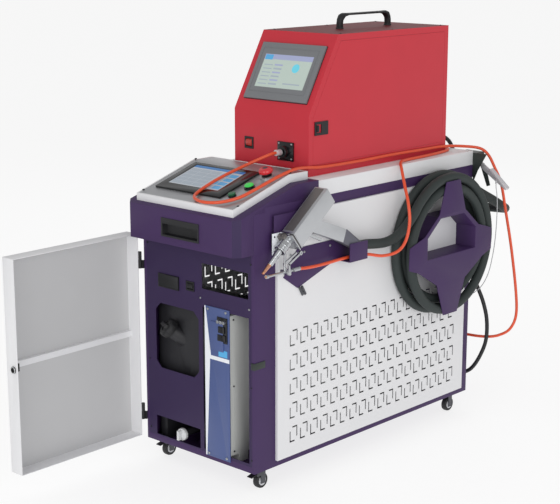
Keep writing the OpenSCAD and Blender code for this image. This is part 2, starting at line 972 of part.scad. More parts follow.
module emergency_stop() {
    color("#c8202a")
        on_panel(stop_place) {
            rod_z([0, 0, stop_rise - stop_cap_h], stop_d, stop_cap_h - stop_crown_h);
            translate([0, 0, stop_rise - stop_crown_h]) cylinder(d1 = stop_d, d2 = stop_crown_d,
                h = stop_crown_h);
        }
    color("#2a2a2c")
        on_panel(stop_place)
            rod_z([0, 0, -button_stem_l], stop_stem_d, stop_rise - stop_cap_h + button_stem_l);
}

module start_button() {
    color("#27a83c")
        on_panel(start_place) rod_z([0, 0, -button_stem_l], start_d, start_rise + button_stem_l);
}

module reset_button() {
    color("#1d5c31")
        on_panel(reset_place) rod_z([0, 0, -button_stem_l], reset_d, reset_rise + button_stem_l);
}

// Water circuit
module on_neck() {
    translate(neck_place) rotate([neck_tilt, 0, -neck_turn]) children();
}

module water_tank() {
    color("#17171a") {
        difference() {
            union() {
                block(tank_x, tank_y, tank_z);
                on_neck() rod_z([0, 0, -neck_d / 2], neck_d, neck_l + neck_d / 2);
            }
            on_neck() rod_z([0, 0, neck_l - neck_bore_l], neck_bore_d, neck_bore_l + over);
        }
        for (x = [tank_x[0], tank_x[1] - tank_foot_w])
            block([x, x + tank_foot_w], tank_y, [floor_z, tank_z[0] + over]);
        rod_z([drain_place[0], drain_y[1] + drain_pipe_d / 2, drain_place[1]], drain_pipe_d,
            tank_z[0] - drain_place[1] + over);
        difference() {
            rod_y([drain_place[0], drain_y[0], drain_place[1]], drain_pipe_d,
                drain_y[1] - drain_y[0] + drain_pipe_d / 2);
            rod_y([drain_place[0], drain_y[0] - over, drain_place[1]], drain_bore_d,
                drain_y[1] - drain_y[0]);
        }
    }
}

module filler_cap() {
    color("#101012")
        on_neck() {
            difference() {
                rod_z([0, 0, neck_l - cap_skirt_l], cap_d, cap_skirt_l + cap_h);
                rod_z([0, 0, neck_l - cap_skirt_l - over], neck_d + 2 * gap, cap_skirt_l + over);
            }
            rod_z([0, 0, neck_l - cap_plug_l], neck_bore_d - 2 * fit, cap_plug_l + over);
            translate([0, 0, neck_l + cap_h - over])
                block([-cap_d / 2 + cap_grip_w / 2, cap_d / 2 - cap_grip_w / 2], [-cap_grip_w / 2,
                    cap_grip_w / 2],
                    [0, cap_grip_h + over]);
        }
}

module drain_cap() {
    color("#c9c9cb") {
        rod_y([drain_place[0], drain_y[0] - drain_cap_h, drain_place[1]], drain_cap_d, drain_cap_h);
        rod_y([drain_place[0], drain_y[0] - over, drain_place[1]], drain_bore_d - 2 * fit,
            drain_plug_l + over);
        block([drain_place[0] - drain_knob_w / 2, drain_place[0] + drain_knob_w / 2],
            [drain_y[0] - drain_cap_h - drain_knob_h, drain_y[0] - drain_cap_h + over],
            [drain_place[1] - drain_cap_d / 2 + drain_knob_w / 2,
                drain_place[1] + drain_cap_d / 2 - drain_knob_w / 2]);
    }
}

module thermostat() {
    face_y = front_y - thermostat_rim;
    color("#1a1a1d")
        difference() {
            union() {
                block([thermostat_x[0] - thermostat_rim, thermostat_x[1] + thermostat_rim], [face_y, front_y],
                    [thermostat_z[0] - thermostat_rim, thermostat_z[1] + thermostat_rim]);
                block([thermostat_x[0] + gap, thermostat_x[1] - gap], [front_y, front_y + thermostat_depth],
                    [thermostat_z[0] + gap, thermostat_z[1] - gap]);
            }
            block([thermostat_x[0], thermostat_x[1]], [face_y - over, face_y + screen_recess], thermostat_z);
        }
}

// Rocker that turns about an axis along X, cut from a round bar
module rocker(x, front, z, w, h, proud) {
    r = h / 2 - gap;
    axis_y = front + r - proud;
    intersection() {
        rod_x([x - w / 2 + gap, axis_y, z], 2 * r, w - 2 * gap);
        block([x - w / 2, x + w / 2], [axis_y - r, axis_y + r / 2], [z - h / 2, z + h / 2]);
        translate([0, axis_y, z])
            rotate([rocker_a, 0, 0])
                block([x - w / 2, x + w / 2], [-r * rocker_flat_share, h], [-h, h]);
    }
}

module chiller_switch() {
    color("#222326") rocker(switch_x, front_y - sheet, switch_z, switch_w, switch_h, switch_proud);
}

// Laser source
module laser_source() {
    z = [laser_z + laser_ear, laser_z + laser_panel_h - laser_ear];
    x = [laser_x + laser_side_gap, laser_x + laser_panel_w - laser_side_gap];
    color("#d9dadc") {
        block(x, [front_y, front_y + laser_depth], z);
        for (y = [front_y + laser_foot_w, front_y + laser_depth - 2 * laser_foot_w])
            block(x, [y, y + laser_foot_w], [floor_z, z[0] + over]);
    }
}

module laser_front_panel() {
    y = [front_y - laser_proud, front_y];
    z = [laser_z, laser_z + laser_panel_h];
    color("#3f62a8")
        difference() {
            block([laser_x, laser_x + laser_panel_w], y, z);
            for (x = [laser_x + laser_screw_inset, laser_x + laser_panel_w - laser_screw_inset])
                for (h = [z[0] + laser_ear / 2, z[1] - laser_ear / 2])
                    rod_y([x, y[0] - over, h], laser_screw_d, laser_proud + 2 * over);
        }
    color("#16181c")
        block(laser_socket_x, [y[0] - laser_socket_t, y[0]], laser_socket_z);
}

// Control box and cooling unit
module control_box() {
    color("#c4c6c9") {
        block(control_x, control_y, [floor_z, floor_z + control_h]);
        block([control_x[0] + control_lid_inset, control_x[1] - control_lid_inset],
            [control_y[0] + control_lid_inset, control_y[1] - control_lid_inset],
            [floor_z + control_h - over, floor_z + control_h + sheet]);
    }
}

fan_y = (condenser_y[0] + condenser_y[1]) / 2;
fan_z = floor_z + condenser_h / 2;
shroud_x = condenser_x + condenser_t;
fan_x = shroud_x + shroud_t + fan_gap;
motor_x = fan_x + fan_t + fan_gap;

module chiller_unit() {
    color("#9fa4a8") {
        block([condenser_x, shroud_x], condenser_y, [floor_z, floor_z + condenser_h]);
        for (i = [0 : condenser_tubes - 1])
            rod_y([condenser_x - condenser_tube_d / 2 + over, condenser_y[0],
                floor_z + (i + 0.5) * condenser_h / condenser_tubes], condenser_tube_d,
                condenser_y[1] - condenser_y[0]);
        difference() {
            block([shroud_x - over, shroud_x + shroud_t], condenser_y, [floor_z, floor_z + condenser_h]);
            rod_x([shroud_x, fan_y, fan_z], fan_d + 2 * fan_gap, shroud_t + over);
        }
    }
    color("#2a2b2e") {
        rod_x([motor_x, fan_y, fan_z], fan_motor_d, fan_motor_l);
        rod_x([fan_x, fan_y, fan_z], fan_shaft_d, motor_x - fan_x + over);
        block([motor_x, motor_x + shroud_t], [condenser_y[0], condenser_y[1]],
            [fan_z - fan_strut_w / 2, fan_z + fan_strut_w / 2]);
        for (y = [condenser_y[0], condenser_y[1] - shroud_t])
            block([shroud_x, motor_x + shroud_t], [y, y + shroud_t],
                [fan_z - fan_strut_w / 2, fan_z + fan_strut_w / 2]);
        rod_z([compressor_place[0], compressor_place[1], floor_z], compressor_d, compressor_h);
        translate([pump_place[0], pump_place[1], floor_z])
            block([0, pump_size[0]], [0, pump_size[1]], [0, pump_size[2]]);
        rod_y([pump_place[0] + pump_size[0] / 2, pump_place[1] + pump_size[1] - over,
            floor_z + pump_size[2] / 2],
            pump_motor_d, pump_size[1]);
    }
}

module cooling_fan() {
    color("#3a3b3e")
        difference() {
            union() {
                rod_x([fan_x, fan_y, fan_z], fan_hub_d, fan_t);
                for (i = [0 : fan_blades - 1])
                    translate([fan_x + fan_t / 2, fan_y, fan_z])
                        rotate([i * 360 / fan_blades, 0, 0])
                            translate([0, 0, fan_hub_d / 2 - over])
                                rotate([0, 0, fan_pitch_a])
                                    block([-fan_blade_t / 2, fan_blade_t / 2], [-fan_blade_w / 2,
                                        fan_blade_w / 2],
                                        [0, fan_d / 2 - fan_hub_d / 2 - fan_gap]);
            }
            rod_x([fan_x - over, fan_y, fan_z], fan_shaft_d + 2 * fit, fan_t + 2 * over);
        }
}

// Front door and its hinges
door_skin_x = hinge_x + door_inner - door_depth;
door_edge_x = hinge_x + door_inner;
door_near_y = hinge_y - door_near;
door_far_y = door_near_y - door_w;
lock_x = door_edge_x - lock_place[0];
lock_z = lock_place[1];

module door_hinges() {
    color("#35294b")
        for (z = hinge_z) {
            rod_z([hinge_x, hinge_y, z], hinge_d, hinge_h / 2 - gap);
            rod_z([hinge_x, hinge_y, z], hinge_pin_d, hinge_h);
            block([hinge_x, -side_x], [hinge_y + hinge_d / 2 - hinge_leaf_t, hinge_y + hinge_d / 2 + gap],
                [z, z + hinge_h / 2 - gap]);
            block([-side_x - hinge_leaf_t, -side_x], [hinge_y + hinge_d / 2 - hinge_leaf_t,
                front_y + hinge_leaf],
                [z, z + hinge_h / 2 - gap]);
        }
    color("#b8babd") {
        block([side_x - strike_front_l, side_x + hinge_leaf_t], [front_y - hinge_leaf_t, front_y], strike_z);
        block([side_x, side_x + hinge_leaf_t], [front_y - hinge_leaf_t, front_y + strike_side_l], strike_z);
    }
}

module front_door() {
    color("#ececed")
        difference() {
            union() {
                difference() {
                    block([door_skin_x, door_edge_x], [door_far_y, door_near_y], [door_z, door_z + door_h]);
                    block([door_skin_x + sheet, door_edge_x + over], [door_far_y + sheet,
                        door_near_y - sheet],
                        [door_z + sheet, door_z + door_h - sheet]);
                }
                difference() {
                    block([door_skin_x, door_skin_x + door_rib_d], [door_far_y + sheet, door_near_y - sheet],
                        [door_rib_z, door_rib_z + door_rib_h]);
                    block([door_skin_x, door_skin_x + door_rib_d - sheet],
                        [door_far_y + 2 * sheet, door_near_y - 2 * sheet],
                        [door_rib_z + sheet, door_rib_z + door_rib_h - sheet]);
                }
                block([door_skin_x, door_skin_x + sheet], [door_far_y, door_near_y], [door_z,
                    door_z + door_h]);
                for (z = hinge_z) {
                    rod_z([hinge_x, hinge_y, z + hinge_h / 2], hinge_d, hinge_h / 2);
                    block([hinge_x - hinge_leaf_t / 2, hinge_x + hinge_leaf_t / 2],
                        [door_near_y - over, hinge_y - hinge_pin_d / 2 - fit], [z + hinge_h / 2,
                            z + hinge_h]);
                }
            }
            for (z = hinge_z)
                rod_z([hinge_x, hinge_y, z + hinge_h / 2 - over], hinge_pin_d + 2 * fit,
                    hinge_h / 2 + 2 * over);
            rod_y([lock_x, door_far_y - over, lock_z], lock_d + 2 * fit, sheet + 2 * over);
        }
}

module door_lock() {
    color("#141416") {
        rod_y([lock_x, door_far_y - lock_face_t, lock_z], lock_face_d, lock_face_t);
        rod_y([lock_x, door_far_y - over, lock_z], lock_d, lock_barrel_l + over);
        block([lock_x - lock_tongue_w / 2, lock_x + lock_tongue_w / 2],
            [door_far_y + lock_barrel_l - over, door_far_y + lock_barrel_l + lock_tongue_t],
            [lock_z - lock_tongue_w / 2, lock_z - lock_tongue_w / 2 + lock_tongue_l]);
    }
}

// Casters: the front pair swivels, the rear pair is rigid
axle_z = wheel_d / 2;
crown_z = floor_gap - caster_plate_t - swivel_t - crown_t;
function caster_pivot_y(end) = end * (caster_y - (end < 0 ? caster_trail : 0));

module fork(x, wheel_y, pivot_y, pinned) {
    arm_x = wheel_w / 2 + arm_gap;
    y0 = min(wheel_y, pivot_y) - arm_w / 2;
    y1 = max(wheel_y, pivot_y) + arm_w / 2;
    translate([x, 0, 0]) {
        difference() {
            union() {
                rod_z([0, pivot_y, crown_z + crown_t - over], swivel_d, swivel_t + over);
                block([-arm_x - arm_t, arm_x + arm_t], [y0, y1], [crown_z, crown_z + crown_t]);
            }
            if (pinned)
                rod_z([0, pivot_y, crown_z - over], king_pin_d + 2 * fit, crown_t + swivel_t + 2 * over);
        }
        for (s = [-1, 1])
            block([min(s * arm_x, s * (arm_x + arm_t)), max(s * arm_x, s * (arm_x + arm_t))],
                [wheel_y - arm_w / 2, wheel_y + arm_w / 2], [axle_z - axle_d, crown_z + over]);
        rod_x([-arm_x - arm_t, wheel_y, axle_z], axle_d, 2 * (arm_x + arm_t));
    }
}

module pedal_seat(x) {
    arm_x = wheel_w / 2 + arm_gap;
    for (s = [-1, 1])
        block([x + min(s * arm_x, s * (arm_x + arm_t)), x + max(s * arm_x, s * (arm_x + arm_t))],
            [-caster_y - pedal_reach - pedal_pin_d, -caster_y], [pedal_z - pedal_pin_d, crown_z + over]);
    rod_x([x - arm_x, -caster_y - pedal_reach, pedal_z], pedal_pin_d, 2 * arm_x);
}

pedal_z = axle_z + pedal_rise;

module front_fork(side) {
    color("#26262a") {
        fork(side * caster_x, -caster_y, caster_pivot_y(-1), true);
        pedal_seat(side * caster_x);
    }
}

module front_left_fork() {
    front_fork(-1);
}

module front_right_fork() {
    front_fork(1);
}

module rear_forks() {
    color("#26262a")
        for (side = [-1, 1]) fork(side * caster_x, caster_y, caster_y, false);
}

module wheel(side, end) {
    color("#1b1b1d")
        translate([side * caster_x, end * caster_y, axle_z])
            difference() {
                rod_x([-wheel_w / 2, 0, 0], wheel_d, wheel_w);
                rod_x([-wheel_w / 2 - over, 0, 0], axle_d + 2 * fit, wheel_w + 2 * over);
                for (x = [-wheel_w / 2 - over, wheel_w / 2 - hub_recess])
                    difference() {
                        rod_x([x, 0, 0], hub_d, hub_recess + over);
                        rod_x([x - over, 0, 0], 2 * axle_d, hub_recess + 3 * over);
                    }
            }
}

module front_left_wheel() {
    wheel(-1, -1);
}

module front_right_wheel() {
    wheel(1, -1);
}

module rear_left_wheel() {
    wheel(-1, 1);
}

module rear_right_wheel() {
    wheel(1, 1);
}

module pedal(side) {
    half = wheel_w / 2 + arm_gap - pedal_side_gap;
    pedal_top = pedal_barrel_d / 2 - pedal_plate_drop;
    color("#18181a")
        translate([side * caster_x, -caster_y - pedal_reach, pedal_z])
            difference() {
                union() {
                    rod_x([-half, 0, 0], pedal_barrel_d, 2 * half);
                    rotate([pedal_slope_a, 0, 0])
                        block([-half + gap, half - gap], [-pedal_l, 0],
                            [pedal_top - pedal_t, pedal_top]);
                }
                rod_x([-half - over, 0, 0], pedal_pin_d + 2 * fit, 2 * half + 2 * over);
            }
}

module front_left_pedal() {
    pedal(-1);
}

module front_right_pedal() {
    pedal(1);
}

// Wire feeder
function feeder_outline(m, foot) = [
    [feeder_front_y + m, deck_h + foot],
    [feeder_front_y + m, deck_h + feeder_knee - m * tan((90 - feeder_slope_a) / 2)],
    [feeder_front_y + feeder_setback + m * tan(feeder_slope_a / 2), feeder_top_z - m],
    [feeder_rear_y - m, feeder_top_z - m],
    [feeder_rear_y - m, deck_h + foot]
];

module on_slant() {
    translate([0, feeder_front_y, deck_h + feeder_knee]) rotate([feeder_slope_a, 0, 0]) children();
}

module feeder_screen_body(extra) {
    on_slant()
        block([feeder_screen_x[0] + feeder_screen_rim - extra,
            feeder_screen_x[1] - feeder_screen_rim + extra],
            [feeder_screen_s[0] + feeder_screen_rim - extra, feeder_screen_s[1] - feeder_screen_rim + extra],
            [-feeder_screen_sunk - over * (extra > 0 ? 1 : 0), over * (extra > 0 ? 1 : 0)]);
}

module feeder_shell() {
    color("#b93a42") {
        difference() {
            union() {
                difference() {
                    side_profile(feeder_outline(0, 0), feeder_x0, feeder_x1);
                    side_profile(feeder_outline(sheet, sheet), feeder_x0 + sheet, feeder_x1 - sheet);
                }
                block([rocker_place[0] - rocker_w / 2 - rocker_rim,
                    rocker_place[0] + rocker_w / 2 + rocker_rim],
                    [feeder_front_y - sheet, feeder_front_y + switch_depth],
                    [rocker_place[1] - rocker_h / 2 - rocker_rim,
                        rocker_place[1] + rocker_h / 2 + rocker_rim]);
            }
            side_profile(feeder_outline(feeder_edge, feeder_door_foot), feeder_x1 - sheet - over,
                feeder_x1 + over);
            feeder_screen_body(gap);
            block([rocker_place[0] - rocker_w / 2, rocker_place[0] + rocker_w / 2],
                [feeder_front_y - sheet - over, feeder_front_y + switch_depth + over],
                [rocker_place[1] - rocker_h / 2, rocker_place[1] + rocker_h / 2]);
            rod_y([outlet_place[0], feeder_front_y - over, outlet_place[1]], outlet_stub_d + 2 * gap,
                sheet + 2 * over);
        }
    }
    color("#1d1d1f")
        rod_y([cable_start[0], feeder_rear_y - over, cable_start[2]], feeder_cable_d + 2 * gland_wall,
            cable_start[1] - feeder_rear_y + over);
}

module feeder_door() {
    latch_y0 = feeder_front_y + latch_y[0];
    latch_y1 = feeder_front_y + latch_y[1];
    slot_y = [latch_y0 + latch_border, latch_y0 + latch_border + latch_slot[0]];
    slot_z = [latch_z[0] + latch_border, latch_z[0] + latch_border + latch_slot[1]];
    color("#b93a42")
        side_profile(feeder_outline(feeder_edge + feeder_door_gap, feeder_door_foot + feeder_door_gap),
            feeder_x1 - sheet, feeder_x1);
    color("#141416")
        difference() {
            block([feeder_x1 - over, feeder_x1 + latch_t], [latch_y0, latch_y1], latch_z);
            block([feeder_x1, feeder_x1 + latch_t + over], slot_y, slot_z);
        }
}

module feeder_latch() {
    y0 = feeder_front_y + latch_y[0] + latch_border + gap;
    z0 = latch_z[0] + latch_border + (latch_slot[1] - latch_thumb[1]) / 2;
    color("#333338")
        block([feeder_x1 + gap, feeder_x1 + latch_t + latch_proud], [y0, y0 + latch_thumb[0]],
            [z0, z0 + latch_thumb[1]]);
}

module feeder_handle() {
    legs = [handle_y[0] + handle_leg_inset, handle_y[1] - handle_leg_inset];
    color("#17171a") {
        block([handle_x - handle_bar_w / 2, handle_x + handle_bar_w / 2], handle_y,
            [feeder_top_z + handle_rise - handle_bar_t, feeder_top_z + handle_rise]);
        for (y = legs) {
            rod_z([handle_x, y, feeder_top_z], handle_foot_d, handle_foot_t);
            rod_z([handle_x, y, feeder_top_z], handle_leg_d, handle_rise - handle_bar_t + over);
        }
    }
}

module feeder_screen() {
    color("#9d9fa3")
        difference() {
            union() {
                on_slant() block(feeder_screen_x, feeder_screen_s, [0, feeder_screen_proud]);
                feeder_screen_body(0);
            }
            on_slant()
                block(feeder_screen_lit_x, feeder_screen_lit_s,
                    [feeder_screen_proud - screen_recess, feeder_screen_proud + over]);
        }
}

module feeder_switch() {
    color("#b0161f")
        rocker(rocker_place[0], feeder_front_y - sheet, rocker_place[1], rocker_w, rocker_h, rocker_proud);
}

module wire_outlet() {
    x = outlet_place[0];
    z = outlet_place[1];
    y = feeder_front_y;
    color("#1a1a1d") {
        block([x - outlet_flange[0] / 2, x + outlet_flange[0] / 2], [y - outlet_t, y],
            [z - outlet_flange[1] / 2, z + outlet_flange[1] / 2]);
        rod_y([x, y - outlet_t - outlet_boss_l, z], outlet_boss_d, outlet_boss_l + over);
    }
    color("#c9a25a") {
        rod_y([x, outlet_end_y, z], outlet_stub_d, roller_y - roller_d / 2 - outlet_end_y);
        rod_y([x, outlet_end_y, z], outlet_nut_d, outlet_nut_l);
    }
}

// Wire drive inside the feeder
roller_x = outlet_place[0];
roller_off = (roller_d + roller_nip) / 2;
spool_y = spool_place[0];
spool_z = spool_place[1];

module feed_motor() {
    color("#8d9094") {
        side_profile(feeder_outline(divider_margin, sheet), divider_x - sheet, divider_x);
        for (s = [-1, 1])
            rod_x([divider_x - over, roller_y, outlet_place[1] + s * roller_off], roller_bore_d - 2 * fit,
                roller_x + roller_w / 2 - divider_x + over);
        rod_x([divider_x - sheet - motor_l, roller_y, outlet_place[1] - roller_off], motor_d, motor_l + over);
        for (s = [-1, 1])
            rod_x([divider_x - over, roller_y, outlet_place[1] + s * roller_off], motor_boss_d,
                roller_x - roller_w / 2 - gap - divider_x + over);
        rod_x([divider_x - over, spool_y, spool_z], spool_bore_d - 2 * fit,
            roller_x + spool_w / 2 + gap - divider_x + over);
        rod_x([roller_x + spool_w / 2 + gap, spool_y, spool_z], spindle_cap_d, spindle_cap_t);
    }
}

module feed_roller(side) {
    color("#c7cacd")
        difference() {
            rod_x([roller_x - roller_w / 2, roller_y, outlet_place[1] + side * roller_off],
                roller_d, roller_w);
            rod_x([roller_x - roller_w / 2 - over, roller_y, outlet_place[1] + side * roller_off],
                roller_bore_d,
                roller_w + 2 * over);
        }
}

module drive_roller() {
    feed_roller(-1);
}

module pressure_roller() {
    feed_roller(1);
}

module wire_spool() {
    x = roller_x - spool_w / 2;
    difference() {
        union() {
            color("#2c2c30")
                for (s = [0, spool_w - spool_flange_t]) rod_x([x + s, spool_y, spool_z], spool_d,
                    spool_flange_t);
            color("#b06a3c") rod_x([x + over, spool_y, spool_z], spool_d * wound_share, spool_w - 2 * over);
        }
        rod_x([x - over, spool_y, spool_z], spool_bore_d, spool_w + 2 * over);
    }
}

// Gun
module on_barrel() {
    translate([gun_x, gun_back[0], gun_back[1]]) rotate([barrel_dip, 0, 0]) children();
}

module on_grip() {
    translate([gun_x, handle_root[0], handle_root[1]]) rotate([-handle_drop, 0, 0]) children();
}

module gun_body() {
    color("#b4b6b9") {
        on_barrel() centred(barrel_w, [-barrel_l, 0], [-barrel_h / 2, barrel_h / 2]);
        on_grip() centred(handle_w, [0, handle_l], [-handle_t / 2, handle_t / 2]);
        for (s = [-1, 1])
            translate([gun_x + s * (trigger_w / 2 + gap + trigger_lug_t / 2), trigger_pivot[0],
                trigger_pivot[1]]) {
                rod_x([-trigger_lug_t / 2, 0, 0], trigger_lug_d, trigger_lug_t);
                centred(trigger_lug_t, [-trigger_lug_d / 2, trigger_lug_d / 2], [0, 2 * trigger_lug_d]);
            }
        rod_x([gun_x - trigger_w / 2 - trigger_lug_t, trigger_pivot[0], trigger_pivot[1]],
            trigger_pin_d, trigger_w + 2 * trigger_lug_t);
    }
    color("#5f5d66")
        hull() {
            on_grip()
                centred(handle_w + 2 * gap, [handle_l - 2 * over, handle_l], [-handle_t / 2 - gap,
                    handle_t / 2 + gap]);
            rod_y([gun_x, boot_end[0] - 2 * over, boot_end[1]], boot_end_d, 2 * over);
        }
}

module gun_nozzle() {
    offset = nozzle_offset;
    ends = [barrel_l, barrel_l + lens_l, barrel_l + lens_l + tube_l,
        barrel_l + lens_l + tube_l + slim_tube_l];
    color("#c9cbce") {
        difference() {
            union() {
                on_barrel() {
                    rod_y([0, -ends[1], offset], lens_d, lens_l);
                    rod_y([0, -ends[2], offset], tube_d, tube_l + over);
                    rod_y([0, -ends[3], offset], slim_tube_d, slim_tube_l + over);
                }
                rod_z([gun_x, guide_stem_y, guide_z], guide_stem_d, guide_stem_h);
            }
            on_barrel() rod_y([0, -ends[3] - over, offset], tip_bore_d, slim_tube_l);
        }
        on_barrel() rod_z([0, -barrel_l + knob_d, -barrel_h / 2 - knob_d], knob_d, knob_d);
        rod_y([gun_x, guide_y[0], guide_z], guide_d, guide_y[1] - guide_y[0]);
        block([gun_x - barrel_w / 2, gun_x - barrel_w / 2 + side_plate_t], [side_plate_y,
            side_plate_y + side_plate[0]],
            [side_plate_z, side_plate_z + side_plate[1]]);
        rod_x([gun_x - barrel_w / 2 + over, side_plate_y + side_plate[0] / 2,
            side_plate_z + side_plate[1] / 2],
            side_plate_pin_d, barrel_w / 2 - over);
    }
    color("#c98a5c")
        on_barrel()
            difference() {
                translate([0, -ends[3], offset]) rotate([90, 0, 0]) cylinder(d1 = tip_d,
                    d2 = tip_end_d, h = tip_l);
                rod_y([0, -ends[3] - tip_l - over, offset], tip_bore_d, tip_l + 2 * over);
            }
}

module gun_trigger() {
    color("#d5d7da")
        translate([gun_x, trigger_pivot[0], trigger_pivot[1]])
            rotate([trigger_tilt, 0, 0])
                difference() {
                    union() {
                        centred(trigger_w, [0, trigger_l], [-trigger_t / 2, trigger_t / 2]);
                        rod_x([-trigger_w / 2, 0, 0], trigger_t, trigger_w);
                    }
                    rod_x([-trigger_w / 2 - over, 0, 0], trigger_pin_d + 2 * fit, trigger_w + 2 * over);
                }
}

// Gun holder
socket_x = gun_x + boot_end_d / 2 + gap;

module gun_holder() {
    color("#3d3157") {
        side_profile([
            [holder_y[0], holder_z[0]], [holder_y[1], holder_z[1]], [holder_y[2], holder_z[2]],
            [socket_y[0], socket_z[0] - holder_t], [socket_y[1], socket_z[0] - holder_t],
            [socket_y[1], socket_z[1]], [socket_y[0], holder_top_z], [holder_y[1], holder_top_z]
        ], skin_x, skin_x + holder_t);
        block([skin_x, socket_x + holder_t], socket_y, [socket_z[0] - holder_t, socket_z[0]]);
        block([socket_x, socket_x + holder_t], socket_y, [socket_z[0] - holder_t, socket_z[1]]);
    }
}

// Hose hanger
function mirrored(half) = concat(half, reversed([for (p = half) [-p[0], p[1]]]));
hanger_outline = [for (p = mirrored(arm_shares)) [hanger_y, hanger_z] + hanger_span * p];
function hole_outline(wall) = [
    for (p = mirrored(hole_shares)) [hanger_y, hanger_z] + (hanger_span + wall / hole_wall_share) * p
];

module hose_hanger() {
    front_x = skin_x + hanger_depth;
    color("#43355c")
        difference() {
            union() {
                side_profile(hanger_outline, front_x - hanger_t, front_x);
                side_profile(hole_outline(hanger_t), skin_x, front_x - over);
            }
            side_profile(hole_outline(0), skin_x - over, front_x + over);
        }
}

module hose_coil() {
    color("#2f3a38") swept_tube(coil_route, hose_d, coil_sides);
}

module hose_ends() {
    color("#2f3a38") {
        swept_tube(concat(hose_lead_route, [for (l = hose_joint) coil_first - heading(coil_route, 0) * l]),
            hose_d, cord_sides);
        swept_tube(concat([for (l = reversed(hose_joint)) coil_last + heading(coil_route, coil_steps) * l],
            hose_tail_route), hose_d, cord_sides);
    }
}

// Cable hook and earth clamp
module cable_hook() {
    color("#33333a") {
        front_profile([
            [hook_x[0], hook_z[0]], [hook_x[0], hook_z[1]], [hook_x[1], hook_z[1]], hook_nose, hook_low,
            [side_x, hook_z[0]]
        ], rear_y, rear_y + hook_t);
        block([hook_x[0], hook_shelf_x], [rear_y, rear_y + hook_shelf_d], [hook_z[1] - hook_t, hook_z[1]]);
        block([hook_shelf_x - hook_t, hook_shelf_x], [clamp_pivot[1] - 2 * clamp_t, rear_y + hook_shelf_d],
            [hook_z[1] - hook_lip_h, hook_z[1]]);
    }
}

module clamp_side(a, l, w, nose_x, layer) {
    pivot = [clamp_pivot[0], clamp_pivot[2]];
    along = [cos(a), -sin(a)];
    up = [sin(a), cos(a)];
    front_profile([
        [nose_x[0], pivot[1] + clamp_nose_h], [nose_x[1], pivot[1] + clamp_nose_h],
        [nose_x[1], pivot[1] + clamp_eye_r], pivot + [clamp_t, clamp_eye_r],
        pivot + clamp_eye_r * (up + along / 2), pivot + l * along + w / 2 * up,
        pivot + l * along - w / 2 * up, pivot - clamp_eye_r * up, [nose_x[0], pivot[1] - clamp_t]
    ], layer, layer + clamp_t);
}

module earth_clamp() {
    x = hook_shelf_x + clamp_gap;
    color("#b9babd") {
        clamp_side(clamp_arm_a, clamp_arm_l, clamp_arm_w, [x, x + clamp_nose_w], clamp_pivot[1]);
        rod_y([clamp_pivot[0], clamp_pivot[1] + over, clamp_pivot[2]], clamp_pin_d,
            2 * clamp_t + clamp_gap - over);
        rod_z([lead_start[0], lead_start[1], clamp_lug_z[0]], clamp_lug_d, clamp_lug_z[1] - clamp_lug_z[0]);
    }
}

module clamp_jaw() {
    x = hook_shelf_x - hook_t - clamp_gap;
    layer = clamp_pivot[1] + clamp_t + clamp_gap;
    color("#3a3a3e")
        difference() {
            clamp_side(clamp_jaw_a, clamp_jaw_l, clamp_jaw_w, [x - clamp_nose_w, x], layer);
            rod_y([clamp_pivot[0], layer - over, clamp_pivot[2]], clamp_pin_d + 2 * fit, clamp_t + 2 * over);
        }
}

// Cords
module wire_tube() {
    color("#e2542f") swept_tube(wire_tube_route, wire_tube_d, cord_sides);
}

module feeder_cable() {
    color("#161618") swept_tube(feeder_cable_route, feeder_cable_d, cord_sides);
}

module earth_lead() {
    color("#c9c9cb") swept_tube(earth_lead_route, earth_lead_d, cord_sides);
}

cabinet_frame();
top_cover();
front_plate();
side_panel_right();
side_panel_left();
rear_panel();
console_shell();
console_rim();
console_plate();
touchscreen();
pull_handle();
emergency_stop();
start_button();
reset_button();
water_tank();
filler_cap();
drain_cap();
thermostat();
chiller_switch();
laser_source();
laser_front_panel();
control_box();
chiller_unit();
cooling_fan();
door_hinges();
front_door();
door_lock();
front_left_fork();
front_right_fork();
rear_forks();
front_left_wheel();
front_right_wheel();
rear_left_wheel();
rear_right_wheel();
front_left_pedal();
front_right_pedal();
feeder_shell();
feeder_door();
feeder_latch();
feeder_handle();
feeder_screen();
feeder_switch();
wire_outlet();
wire_spool();
feed_motor();
drive_roller();
pressure_roller();
gun_holder();
gun_body();
gun_nozzle();
gun_trigger();
hose_hanger();
hose_coil();
hose_ends();
cable_hook();
earth_clamp();
clamp_jaw();
wire_tube();
feeder_cable();
earth_lead();
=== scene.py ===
"""Looks of the laser welding machine, made over its CAD frame and laid out as a Blender add-on."""

import json
import math

import bmesh
import bpy
from bpy.props import FloatProperty, FloatVectorProperty, PointerProperty
from mathutils import Matrix, Vector


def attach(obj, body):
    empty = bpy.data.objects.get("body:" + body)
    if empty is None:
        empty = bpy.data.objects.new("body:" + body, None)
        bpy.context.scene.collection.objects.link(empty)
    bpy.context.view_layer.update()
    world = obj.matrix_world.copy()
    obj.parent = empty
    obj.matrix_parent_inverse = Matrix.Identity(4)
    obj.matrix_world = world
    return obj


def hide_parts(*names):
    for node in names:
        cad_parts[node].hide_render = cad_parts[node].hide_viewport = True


bl_info = {
    "name": "Laser welding machine",
    "version": (1, 0, 0),
    "blender": (4, 5, 0),
    "location": "View3D > Sidebar > Welder",
    "description": "Cabinet, console, wire feeder, gun, hose and stage of a laser welding machine",
    "category": "Mesh",
}

MM = 0.001

